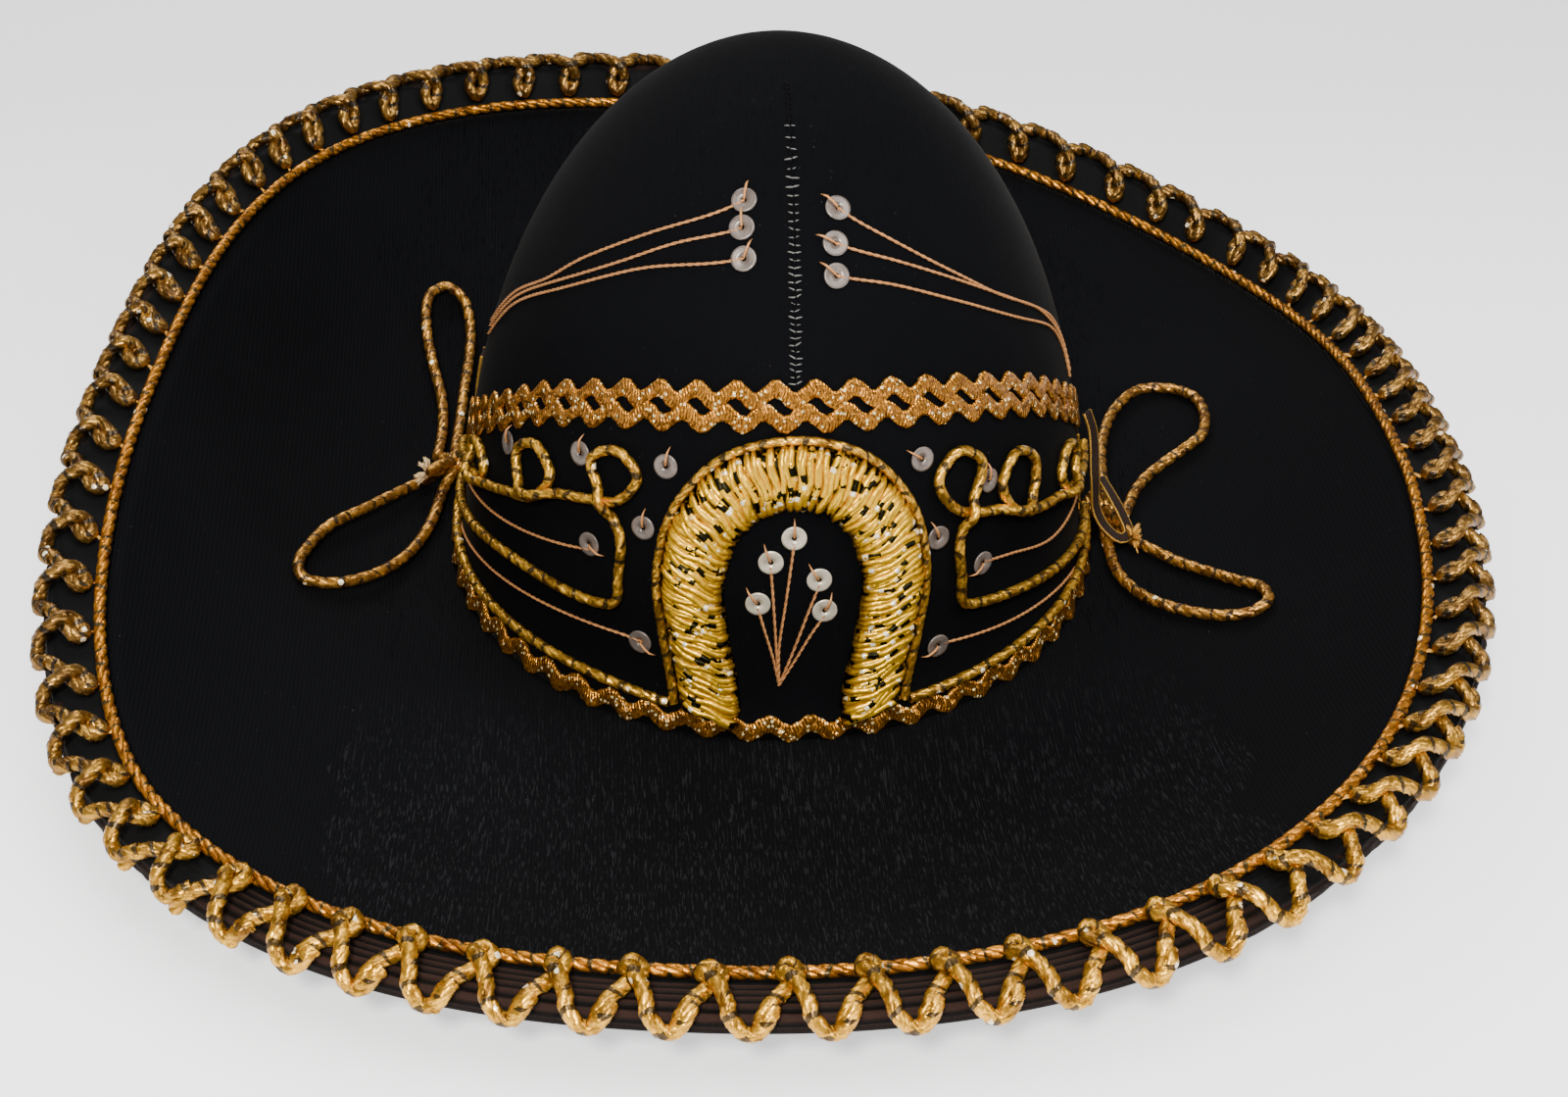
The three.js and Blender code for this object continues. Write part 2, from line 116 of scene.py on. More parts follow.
class Tree:
    def __init__(self, tree):
        self.tree = tree

    def add(self, kind, settings=None, inputs=None, out=0):
        node = self.tree.nodes.new(kind)
        for name, value in (settings or {}).items():
            if name == "stops":
                self.fillRamp(node.color_ramp, value)
            else:
                setattr(node, name, value)
        for key, value in (inputs or {}).items():
            self.feed(pick(node.inputs, key), value)
        return Val(self, pick(node.outputs, out)) if len(node.outputs) else node

    def fillRamp(self, ramp, stops):
        for place, _ in stops[2:]:
            ramp.elements.new(place)
        for element, (place, colour) in zip(ramp.elements, stops):
            element.position = place
            element.color = (*colour, 1)

    def feed(self, socket, value):
        if isinstance(value, Val):
            self.tree.links.new(value.socket, socket)
        elif isinstance(value, tuple) and len(value) == 3 and socket.type == "RGBA":
            socket.default_value = (*value, 1)
        else:
            socket.default_value = value

    def blend(self, mask, low, high):
        return self.add("ShaderNodeMix", {"data_type": "RGBA"},
                        {"Factor_Float": mask, "A_Color": low, "B_Color": high}, "Result_Color")

    def attribute(self, name, out="Fac"):
        return self.add("ShaderNodeAttribute", {"attribute_name": name}, out=out)

    def store(self, geometry, name, value, domain="POINT"):
        return self.add("GeometryNodeStoreNamedAttribute", {"data_type": "FLOAT", "domain": domain},
                        {"Geometry": geometry, "Name": name, "Value": value})

    def draw(self, seed, low=0.0, high=1.0):
        return self.add("FunctionNodeRandomValue", {"data_type": "FLOAT"},
                        {"Min_001": low, "Max_001": high, "Seed": seed}, "Value_001")

    def place(self):
        return self.add("ShaderNodeTexCoord", out="Object")

    def noise(self, place, scale, detail=2.0, out="Factor"):
        return self.add("ShaderNodeTexNoise", {}, {"Vector": place, "Scale": scale, "Detail": detail},
                        "Fac" if out == "Factor" else out)

    def cells(self, place, scale, out="Color"):
        return self.add("ShaderNodeTexVoronoi", {}, {"Vector": place, "Scale": scale}, out)

    def dots(self, place, scale, radius, share):
        cell = self.cells(place, scale, "Distance")
        red = self.add("ShaderNodeSeparateColor", {}, {"Color": cell.of("Color")}, "Red")
        return (cell < radius) * (red < share)

    def axis(self, place, letter):
        return self.add("ShaderNodeSeparateXYZ", {}, {"Vector": place}, letter)

    def bump(self, height, depth, strength=1.0, normal=None):
        inputs = {"Height": height, "Distance": depth, "Strength": strength}
        if normal is not None:
            inputs["Normal"] = normal
        return self.add("ShaderNodeBump", {}, inputs, "Normal")

    def facets(self, cellColour, amount):
        centred = self.add("ShaderNodeVectorMath", {"operation": "SUBTRACT"},
                           {0: cellColour, 1: (0.5, 0.5, 0.5)})
        push = self.add("ShaderNodeVectorMath", {"operation": "SCALE"}, {0: centred, "Scale": amount})
        flat = self.add("ShaderNodeNewGeometry", out="Normal")
        summed = self.add("ShaderNodeVectorMath", {"operation": "ADD"}, {0: flat, 1: push})
        return self.add("ShaderNodeVectorMath", {"operation": "NORMALIZE"}, {0: summed})


def newMaterial(name, fixed, paint):
    made = bpy.data.materials.new(name)
    made.use_nodes = True
    shader = made.node_tree.nodes["Principled BSDF"]
    for key, value in fixed.items():
        shader.inputs[key].default_value = value
    tree = Tree(made.node_tree)
    for key, value in paint(tree).items():
        tree.feed(shader.inputs[key], value)
    return made


# Velvet: near black, with fine ribs whose furrows are painted a little darker as painted shade, a soft worn nap
# and a little lint
def velvetPaint(ribs):
    def paint(tree):
        place = tree.place()
        stretched = tree.add("ShaderNodeMapping", {}, {"Vector": place, "Scale": (2300.0, 170.0, 170.0)})
        streaks = tree.noise(stretched, 1.0, 3.0)
        worn = tree.noise(place, 14.0, 4.0)
        lint = (tree.noise(place, 1900.0, 1.0) > 0.79) * (tree.noise(place, 60.0, 1.0) > 0.5)
        rib = (tree.axis(place, "X") * (2 * math.pi / 0.00125)).sine() * 0.5 + 0.5
        front = tree.axis(place, "Y") * -14.0 - 1.5
        middle = (tree.axis(place, "X").size() + worn * 0.12) < 0.19
        # The rib wave lightens the crests a little over the furrows: painted shade in the furrows
        light = (streaks > 0.60) * middle * (front + worn) * ribs + worn * 0.2 + rib * 0.1 * ribs
        nap = tree.blend(light, (0.0009, 0.0010, 0.0014), (0.0095, 0.0098, 0.011))
        colour = tree.blend(lint * 0.5, nap, (0.12, 0.12, 0.12))
        pile = tree.noise(place, 2400.0, 2.0)
        height = pile * 0.6 + rib * (0.4 * ribs)
        return {"Base Color": colour, "Roughness": 0.78 + worn * 0.2,
                "Normal": tree.bump(height, 0.0004, 0.5)}
    return paint


velvetSheen = {"Sheen Weight": 0.012, "Sheen Roughness": 0.25, "Sheen Tint": (0.85, 0.8, 0.7, 1),
               "Specular IOR Level": 0.04}
velvet = newMaterial("velvet", velvetSheen, velvetPaint(1.0))
crownVelvetFinish = newMaterial("crownVelvet", velvetSheen, velvetPaint(0.15))


# Binding: black velvet on top, dark brown corded cloth round the outer face
def bindingPaint(tree):
    place = tree.place()
    across = tree.attribute("across")
    worn = tree.noise(place, 45.0, 4.0)
    weave = tree.noise(place, 1500.0, 2.0)
    brown = (across + worn * 0.12) > 0.62
    # The ridge value follows the front ribs: the cloth is painted darker in the furrows between them, as painted
    # shade
    ridge = tree.attribute("ridge")
    cloth = tree.blend(worn * 0.5 + ridge * 0.5, (0.0012, 0.0006, 0.0004), (0.026, 0.012, 0.008))
    nap = tree.blend(worn, (0.0007, 0.0008, 0.0010), (0.003, 0.0032, 0.0033))
    return {"Base Color": tree.blend(brown, nap, cloth), "Roughness": 0.6 + weave * 0.3,
            "Normal": tree.bump(weave, 0.0003, 0.6)}


bindingCloth = newMaterial("bindingCloth", {"Sheen Weight": 0.008, "Sheen Roughness": 0.4,
                                            "Specular IOR Level": 0.1}, bindingPaint)


# Twisted metallic cord: crest is 1 on the outside of a strand and 0 in the groove between two, where the colour
# is painted dark as painted shade
def cordPaint(grooveShade, shade, bright, fleck, fleckPitch, fleckShare, glint, away=None):
    def paint(tree):
        place = tree.place()
        along = tree.attribute("along")
        crest = tree.attribute("crest")
        side = tree.attribute("side")
        fibres = tree.noise(place, 1500.0, 3.0)
        patch = tree.noise(place, 210.0, 3.0)
        body = tree.blend((patch - 0.36) * 2.4 + fibres * 0.35, shade, bright)
        # Away from the front the body takes the darker away colours: painted shade on the sides and back of the
        # rim
        if away:
            paintedLightFront = tree.axis(place, "Y") * -9.0 - 1.1
            body = tree.blend(paintedLightFront, tree.blend((patch - 0.36) * 2.4 + fibres * 0.35, *away), body)
        # The grooves between strands take the dark groove colour: painted shade
        withGrooveShade = tree.blend((crest - 0.62 + fibres * 0.2) * 2.6, grooveShade, body)
        beat = (along / fleckPitch + side * 0.3 + patch * 0.5) % 1.0
        flecked = (beat < fleckShare) * (side > -0.25) * (patch + fibres * 0.2 > 0.44)
        # Pale, less metallic spots on the foil: painted glints
        foilAndPaintedGlint = tree.dots(place, 260.0, 0.26, glint)
        colour = tree.blend(flecked * 0.9, withGrooveShade, fleck)
        lit = tree.blend(foilAndPaintedGlint, colour, (0.98, 0.84, 0.58))
        cells = tree.cells(place, 800.0)
        return {"Base Color": lit, "Roughness": 0.28 - foilAndPaintedGlint * 0.15 + fibres * 0.1,
                "Metallic": 0.85 - flecked * 0.15 - foilAndPaintedGlint * 0.5, "Normal": tree.facets(cells, 0.5)}
    return paint


goldCord = newMaterial("goldCord", {"Specular IOR Level": 0.6}, cordPaint(
    grooveShade=(0.025, 0.010, 0.002), shade=(0.24, 0.105, 0.012), bright=(1.0, 0.54, 0.05),
    fleck=(0.012, 0.010, 0.006), fleckPitch=0.0062, fleckShare=0.25, glint=0.09))
trimGold = newMaterial("trimGold", {"Specular IOR Level": 0.6}, cordPaint(
    grooveShade=(0.02, 0.008, 0.002), shade=(0.18, 0.075, 0.008), bright=(0.95, 0.49, 0.04),
    fleck=(0.012, 0.010, 0.006), fleckPitch=0.0062, fleckShare=0.25, glint=0.09,
    # The away colours darken the trim on the sides and back: painted shade
    away=[(0.09, 0.037, 0.007), (0.36, 0.19, 0.038)]))
bowGold = newMaterial("bowGold", {"Specular IOR Level": 0.6}, cordPaint(
    grooveShade=(0.016, 0.006, 0.001), shade=(0.14, 0.055, 0.012), bright=(0.70, 0.34, 0.055),
    fleck=(0.02, 0.015, 0.008), fleckPitch=0.0062, fleckShare=0.22, glint=0.04))
copperCord = newMaterial("copperCord", {"Specular IOR Level": 0.5}, cordPaint(
    grooveShade=(0.02, 0.006, 0.001), shade=(0.2, 0.064, 0.006), bright=(0.78, 0.31, 0.025),
    fleck=(0.03, 0.03, 0.01), fleckPitch=0.0052, fleckShare=0.22, glint=0.04))


def threadPaint(shade, bright, metal):
    def paint(tree):
        place = tree.place()
        fibres = tree.noise(place, 2200.0, 3.0)
        patch = tree.noise(place, 320.0, 2.0)
        colour = tree.blend(fibres * 0.5 + patch * 0.5, shade, bright)
        return {"Base Color": colour, "Roughness": 0.4 + fibres * 0.3, "Metallic": metal,
                "Normal": tree.bump(fibres, 0.0002, 0.6)}
    return paint


copperThread = newMaterial("copperThread", {"Specular IOR Level": 0.5},
                           threadPaint((0.26, 0.10, 0.03), (0.72, 0.33, 0.11), 0.35))
seamThread = newMaterial("seamThread", {"Specular IOR Level": 0.3},
                         threadPaint((0.03, 0.03, 0.03), (0.2, 0.195, 0.18), 0.0))
frayedGold = newMaterial("frayedGold", {"Specular IOR Level": 0.5},
                         threadPaint((0.30, 0.12, 0.015), (0.85, 0.46, 0.08), 0.6))
paleThread = newMaterial("paleThread", {"Specular IOR Level": 0.5},
                         threadPaint((0.42, 0.26, 0.10), (0.88, 0.66, 0.36), 0.3))


# Satin threads of the horseshoe: warm yellow gold with a few dark lengths and a few silvered lengths, which are
# painted pale and less metallic as painted glints; the thread ends and the pad are darkened as painted shade
def satinPaint(tree):
    place = tree.place()
    along = tree.attribute("along")
    fibres = tree.noise(place, 1500.0, 3.0)
    patch = tree.noise(place, 300.0, 2.0)
    body = tree.blend(fibres * 0.4 + patch * 0.6, (0.48, 0.215, 0.004), (1.0, 0.62, 0.011))
    beat = (tree.attribute("length") / 0.017 + tree.attribute("pick") * 7.0) % 1.0
    dark = (beat < 0.2) * (patch < 0.53)
    foilAndPaintedGlint = (beat > 0.92) * (patch > 0.51)
    shaded = tree.blend(dark, body, (0.010, 0.009, 0.004))
    colour = tree.blend(foilAndPaintedGlint, shaded, (0.98, 0.88, 0.66))
    # Darker towards the thread ends, where they dip to the pad, and on the pad: painted shade
    paintedEndShade = tree.blend(along, (1.0, 1.0, 1.0), (0.55, 0.45, 0.3))
    withPaintedShade = tree.add("ShaderNodeMix", {"data_type": "RGBA", "blend_type": "MULTIPLY"},
                      {"Factor_Float": 1.0, "A_Color": colour, "B_Color": paintedEndShade}, "Result_Color")
    cells = tree.cells(place, 800.0)
    return {"Base Color": withPaintedShade, "Roughness": 0.28 - foilAndPaintedGlint * 0.15 + fibres * 0.12,
            "Metallic": 0.7 + dark * 0.28 - foilAndPaintedGlint * 0.4, "Normal": tree.facets(cells, 0.3)}


satinGold = newMaterial("satinGold", {"Specular IOR Level": 0.6}, satinPaint)


# Glittered wavy braid: rose gold with woven ridges painted lighter than their furrows, as painted shade in the
# furrows, and loose glitter whose pale spots are painted glints
def braidPaint(tree):
    place = tree.place()
    along = tree.attribute("along")
    across = tree.attribute("across")
    ridge = ((along * (2 * math.pi / 0.0011)) + across.size() * 5.0).sine() * 0.5 + 0.5
    grain = tree.noise(place, 900.0, 2.0)
    foilAndPaintedGlint = tree.dots(place, 900.0, 0.44, 0.17)
    edge = (across.size() > 0.72) * 0.35
    # The ridge wave darkens the furrows between the woven ridges: painted shade
    body = tree.blend(ridge * 0.25 + (grain - 0.25) * 1.2 + edge, (0.07, 0.02, 0.001), (0.62, 0.25, 0.026))
    colour = tree.blend(foilAndPaintedGlint, body, (1.0, 0.82, 0.40))
    facet = tree.facets(tree.cells(place, 800.0), 0.6)
    return {"Base Color": colour, "Roughness": 0.3 - foilAndPaintedGlint * 0.15, "Metallic": 0.85 - foilAndPaintedGlint * 0.3,
            "Normal": tree.bump(ridge, 0.0003, 0.7, facet)}


roseBraid = newMaterial("roseBraid", {"Specular IOR Level": 0.6}, braidPaint)


def sequinPaint(dim, bright):
    def paint(tree):
        cloud = tree.noise(tree.place(), 260.0, 2.0)
        return {"Base Color": tree.blend(cloud, dim, bright), "Roughness": 0.2 + cloud * 0.2,
                "Metallic": 0.35}
    return paint


sequinFilm = newMaterial("sequinFilm", {"Specular IOR Level": 0.5},
                         sequinPaint((0.05, 0.04, 0.035), (0.24, 0.195, 0.165)))
# A lighter copy of the sequin finish for the sequins on the horseshoe: painted highlight
sequinPaintedLit = newMaterial("sequinPaintedLit", {"Specular IOR Level": 0.6},
                           sequinPaint((0.24, 0.20, 0.14), (0.75, 0.68, 0.54)))


def ribbonPaint(tree):
    place = tree.place()
    along = tree.attribute("along")
    across = tree.attribute("across")
    weft = (along * (2 * math.pi / 0.0007)).sine() * 0.5 + 0.5
    grain = tree.noise(place, 900.0, 3.0)
    edge = across.size() > 0.84
    # The weft wave makes the cloth darker in the weave's furrows: painted shade
    cloth = tree.blend(grain * 0.6 + weft * 0.4, (0.003, 0.002, 0.0015), (0.026, 0.014, 0.009))
    gold = tree.blend(grain, (0.16, 0.075, 0.01), (0.6, 0.33, 0.05))
    return {"Base Color": tree.blend(edge, cloth, gold), "Roughness": 0.62 - edge * 0.2,
            "Metallic": edge * 0.5, "Normal": tree.bump(weft, 0.0002, 0.6)}


ribbonCloth = newMaterial("ribbonCloth", {"Sheen Weight": 0.02, "Specular IOR Level": 0.08}, ribbonPaint)
print("materials made")


# Curves and surfaces of the hat, in millimetres
def splineAt(points, closed, spans):
    points = np.asarray(points, float)
    count = len(points)
    spans = np.asarray(spans, float)
    last = count - 1 if closed else count - 2
    index = np.clip(np.floor(spans), 0, last).astype(int)
    weight = (spans - index)[:, None]
    if closed:
        p0, p1, p2, p3 = (points[(index + k) % count] for k in (-1, 0, 1, 2))
    else:
        padded = np.vstack([2 * points[0] - points[1], points, 2 * points[-1] - points[-2]])
        p0, p1, p2, p3 = (padded[index + k] for k in (0, 1, 2, 3))
    d0, d1, d2 = (np.sqrt(np.linalg.norm(b - a, axis=1))[:, None] for a, b in ((p0, p1), (p1, p2), (p2, p3)))
    t1 = ((p1 - p0) / d0 - (p2 - p0) / (d0 + d1) + (p2 - p1) / d1) * d1
    t2 = ((p2 - p1) / d1 - (p3 - p1) / (d1 + d2) + (p3 - p2) / d2) * d1
    return (p1 + t1 * weight + (3 * (p2 - p1) - 2 * t1 - t2) * weight ** 2
            + (2 * (p1 - p2) + t1 + t2) * weight ** 3)


def lengthsAlong(points):
    return np.concatenate([[0], np.cumsum(np.linalg.norm(np.diff(points, axis=0), axis=1))])


def evenly(points, count):
    lengths = lengthsAlong(points)
    wanted = np.linspace(0, lengths[-1], count)
    return np.stack([np.interp(wanted, lengths, points[:, k]) for k in range(points.shape[1])], axis=1)


def smoothLine(points, count, closed=False):
    spans = len(points) if closed else len(points) - 1
    dense = splineAt(points, closed, np.linspace(0, spans, spans * 40 + 1))
    return evenly(dense, count + 1)[:-1] if closed else evenly(dense, count)


def unit(vectors):
    return vectors / np.linalg.norm(vectors, axis=-1, keepdims=True)


crown = {"height": 179, "width": 206, "depth": 222, "wall": 3, "setBack": 6, "lean": 2, "footFlare": 7,
         "footFade": 7, "sideFullness": 2.1, "depthFullness": 2.35, "foot": 3.3, "columns": 144, "rows": 44,
         "panel": 112}


def crownSection(height):
    share = np.clip(height / crown["height"], 0, 1)
    flare = crown["footFlare"] * np.exp(-height / crown["footFade"])
    width = crown["width"] / 2 * (1 - share ** crown["sideFullness"]) ** (1 / crown["sideFullness"])
    depth = crown["depth"] / 2 * (1 - share ** crown["depthFullness"]) ** (1 / crown["depthFullness"])
    return width + flare, depth + flare, crown["lean"] * share, crown["setBack"] * (1 - share)


def onCrown(angle, height):
    angle, height = np.broadcast_arrays(np.radians(angle), np.asarray(height, float))
    width, depth, x, y = crownSection(height)
    return np.stack([x + width * np.sin(angle), y - depth * np.cos(angle), height], axis=-1)


def crownNormal(angle, height):
    around = onCrown(angle + 0.5, height) - onCrown(angle - 0.5, height)
    upward = onCrown(angle, height + 0.5) - onCrown(angle, height - 0.5)
    return unit(np.cross(around, upward))


def crownUpward(angle, height):
    return unit(onCrown(angle, height + 0.5) - onCrown(angle, height - 0.5))


def offCrown(angle, height, lift):
    return onCrown(angle, height) + crownNormal(angle, height) * np.asarray(lift)[..., None]


brim = {"thickness": 3, "width": 460, "length": 521, "squareness": 2.25, "turn": -6.5, "flatShare": 0.2,
        "sweep": 1.7, "rimRise": 52, "overlap": 0.4, "columns": 288, "rows": 26}
binding = {"width": 17.5, "cloth": 20, "frontCloth": 16.6, "thickness": 9, "seat": 0.3, "columns": 600,
           "ribs": 4, "ribDepth": 0.45, "frontRib": 3.1, "frontDepth": 0.6, "fuzz": 0.18, "frontHalf": 37,
           "narrowHalf": 60}
# Rim rows every 45 degrees from the front: rise as a share of rimRise, lean in degrees, reach as a share
# of the plan's radius
rimRows = [(0.52, 8, 1.007), (0.72, 4, 1.02), (0.66, 6, 0.981), (0.10, 40, 1.038), (0.67, 62, 1.001),
           (1.04, 48, 1.012), (1.09, 8, 0.954), (0.46, 4, 1.026)]


def rimTable(angle):
    rows = [(rise * brim["rimRise"], lean, reach) for rise, lean, reach in rimRows]
    return splineAt(rows, True, np.mod(angle, 360) / 360 * len(rows))


def rimPlan(angle):
    angle = np.asarray(angle, float)
    turn = math.radians(brim["turn"])
    sine, cosine = np.sin(np.radians(angle)), np.cos(np.radians(angle))
    power = 2 / brim["squareness"]
    x = brim["width"] / 2 * np.sign(sine) * np.abs(sine) ** power
    y = -brim["length"] / 2 * np.sign(cosine) * np.abs(cosine) ** power
    reach = rimTable(angle)[:, 2]
    x, y = x * reach, y * reach
    return np.stack([x * math.cos(turn) - y * math.sin(turn), x * math.sin(turn) + y * math.cos(turn),
                     np.zeros_like(x)], axis=-1)


def rimFrame(angle):
    angle = np.asarray(angle, float)
    table = rimTable(angle)
    lean = np.radians(table[:, 1])[:, None]
    ahead = unit(rimPlan(angle + 0.5) - rimPlan(angle - 0.5))
    outward = np.stack([ahead[:, 1], -ahead[:, 0], np.zeros(len(angle))], axis=-1)
    across = outward * np.cos(lean) + np.array([0, 0, 1]) * np.sin(lean)
    edge = rimPlan(angle) - outward * binding["width"] * np.cos(lean)
    edge[:, 2] = brim["thickness"] + table[:, 0]
    return edge, across, unit(np.cross(across, ahead))


def onBinding(angle, out, lift):
    edge, across, normal = rimFrame(angle)
    return edge + across * np.asarray(out)[..., None] + normal * np.asarray(lift)[..., None]


def onBrim(angle, share, lift):
    width, depth, x, y = crownSection(crown["foot"])
    turn = np.radians(angle)
    inner = np.stack([x + (width - crown["wall"]) * np.sin(turn), y - (depth - crown["wall"]) * np.cos(turn),
                      np.full(len(turn), float(brim["thickness"]))], axis=-1)
    outer = onBinding(angle, brim["overlap"], 0.0)
    rise = max(0.0, (share - brim["flatShare"]) / (1 - brim["flatShare"])) ** brim["sweep"]
    point = inner + (outer - inner) * share
    point[:, 2] = brim["thickness"] + (outer[:, 2] - brim["thickness"]) * rise + lift
    return point


def rimAngles(count):
    turns = np.linspace(0, 360, 1441)
    plan = rimPlan(turns)
    lengths = lengthsAlong(plan)
    return np.interp(np.asarray(count) % 1 * lengths[-1], lengths, turns)


# Mesh makers
def meshObject(name, vertices, faces, finish, attributes=None, smooth=True):
    mesh = bpy.data.meshes.new(name)
    mesh.from_pydata((np.asarray(vertices) * mm).tolist(), [], faces)
    for key, values in (attributes or {}).items():
        data = mesh.attributes.new(key, "FLOAT", "POINT")
        data.data.foreach_set("value", np.asarray(values, float).ravel())
    mesh.materials.append(finish)
    mesh.polygons.foreach_set("use_smooth", [smooth] * len(mesh.polygons))
    mesh.update()
    made = bpy.data.objects.new(name, mesh)
    bpy.context.scene.collection.objects.link(made)
    return made


# Faces of a tube of rows rings with count corners each, with a cap at both ends
def tubeFaces(rows, count, inward=False):
    faces = gridFaces(rows, count, False, True)
    faces += [tuple(reversed(range(count))), tuple(range((rows - 1) * count, rows * count))]
    return [tuple(reversed(f)) for f in faces] if inward else faces


def gridFaces(rows, columns, closeRows, closeColumns):
    faces = []
    for i in range(rows if closeRows else rows - 1):
        for j in range(columns if closeColumns else columns - 1):
            a, b = i * columns + j, i * columns + (j + 1) % columns
            c, d = (i + 1) % rows * columns + (j + 1) % columns, (i + 1) % rows * columns + j
            faces.append((a, b, c, d))
    return faces


def finishPiece(piece, replaced):
    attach(piece, "root")
    if replaced:
        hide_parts(*replaced)
    return piece


# Geometry Nodes: a tree that grows a mesh on a source object, which it then replaces
def newTree(name, inputs):
    tree = bpy.data.node_groups.new(name, "GeometryNodeTree")
    tree.interface.new_socket(name="Geometry", in_out="INPUT", socket_type="NodeSocketGeometry")
    for label, kind in inputs.items():
        tree.interface.new_socket(name=label, in_out="INPUT", socket_type="NodeSocket" + kind)
    tree.interface.new_socket(name="Geometry", in_out="OUTPUT", socket_type="NodeSocketGeometry")
    return Tree(tree)


def grow(name, source, tree, values):
    modifier = source.modifiers.new("grow", "NODES")
    modifier.node_group = tree.tree
    for item in tree.tree.interface.items_tree:
        if item.in_out == "INPUT" and item.name in values:
            modifier[item.identifier] = values[item.name]
    evaluated = source.evaluated_get(bpy.context.evaluated_depsgraph_get())
    mesh = bpy.data.meshes.new_from_object(evaluated)
    mesh.name = name
    source.modifiers.remove(modifier)
    bpy.data.objects.remove(source)
    made = bpy.data.objects.new(name, mesh)
    bpy.context.scene.collection.objects.link(made)
    return made


def ropeTree():
    tree = newTree("twistedCord", {"Diameter": "Float", "Strands": "Int", "Strand Share": "Float",
                                   "Sides": "Int", "Lay": "Float", "Step": "Float", "Material": "Material"})
    given = tree.add("NodeGroupInput")
    diameter = given.of("Diameter")
    line = tree.add("GeometryNodeResampleCurve", {"mode": "LENGTH"},
                    {"Curve": given.of("Geometry"), "Length": given.of("Step")})
    total = tree.add("GeometryNodeSplineLength")
    factor = tree.add("GeometryNodeSplineParameter")
    turns = (total / given.of("Lay")).rounded()
    line = tree.add("GeometryNodeSetCurveTilt", {}, {"Curve": line, "Tilt": factor * turns * (2 * math.pi)})
    line = tree.store(line, "along", factor.of("Length"))
    strand = diameter * given.of("Strand Share") * 0.5
    ring = tree.add("GeometryNodeCurvePrimitiveCircle", {"mode": "RADIUS"},
                    {"Resolution": given.of("Sides"), "Radius": strand})
    order = tree.add("GeometryNodeInputIndex") / given.of("Strands") * (2 * math.pi)
    centre = tree.add("ShaderNodeCombineXYZ", {}, {"X": order.cosine() * (diameter * 0.5 - strand),
                                                   "Y": order.sine() * (diameter * 0.5 - strand)})
    centres = tree.add("GeometryNodePoints", {}, {"Count": given.of("Strands"), "Position": centre})
    profile = tree.add("GeometryNodeInstanceOnPoints", {}, {"Points": centres, "Instance": ring})
    profile = tree.add("GeometryNodeRealizeInstances", {}, {"Geometry": profile})
    spot = tree.add("GeometryNodeInputPosition")
    reach = tree.add("ShaderNodeVectorMath", {"operation": "LENGTH"}, {0: spot}, "Value")
    profile = tree.store(profile, "crest", reach / diameter * 2.0)
    profile = tree.store(profile, "side", tree.axis(spot, "X") / diameter)
    mesh = tree.add("GeometryNodeCurveToMesh", {},
                    {"Curve": line, "Profile Curve": profile, "Fill Caps": True})
    mesh = tree.add("GeometryNodeRealizeInstances", {}, {"Geometry": mesh})
    mesh = tree.add("GeometryNodeSetShadeSmooth", {}, {"Geometry": mesh, "Shade Smooth": True})
    mesh = tree.add("GeometryNodeSetMaterial", {}, {"Geometry": mesh, "Material": given.of("Material")})
    tree.add("NodeGroupOutput", {}, {"Geometry": mesh})
    return tree


def scatterTree():
    tree = newTree("scatter", {"Shape": "Object", "Turn": "Float", "Seed": "Int", "Smallest": "Float",
                               "Material": "Material"})
    given = tree.add("NodeGroupInput")
    read = {"data_type": "FLOAT_VECTOR"}
    outward = tree.add("GeometryNodeInputNamedAttribute", read, {"Name": "outward"})
    across = tree.add("GeometryNodeInputNamedAttribute", read, {"Name": "across"})
    facing = tree.add("FunctionNodeAxesToRotation", {"primary_axis": "Z", "secondary_axis": "X"},
                      {"Primary Axis": outward, "Secondary Axis": across})
    turn = given.of("Turn")
    spin = tree.draw(given.of("Seed"), turn * -1.0, turn)
    spin = tree.add("ShaderNodeCombineXYZ", {}, {"Z": spin})
    spin = tree.add("FunctionNodeEulerToRotation", {}, {"Euler": spin})
    facing = tree.add("FunctionNodeRotateRotation", {"rotation_space": "LOCAL"},
                      {"Rotation": facing, "Rotate By": spin})
    shape = tree.add("GeometryNodeObjectInfo", {}, {"Object": given.of("Shape")}, "Geometry")
    size = tree.draw(given.of("Seed") + 5, given.of("Smallest"))
    placed = tree.add("GeometryNodeInstanceOnPoints", {}, {"Points": given.of("Geometry"), "Instance": shape,
                                                           "Rotation": facing, "Scale": size})
    placed = tree.store(placed, "pick", tree.draw(given.of("Seed") + 9), "INSTANCE")
    mesh = tree.add("GeometryNodeRealizeInstances", {}, {"Geometry": placed})
    mesh = tree.add("GeometryNodeSetMaterial", {}, {"Geometry": mesh, "Material": given.of("Material")})
    tree.add("NodeGroupOutput", {}, {"Geometry": mesh})
    return tree


rope = ropeTree()
scatter = scatterTree()


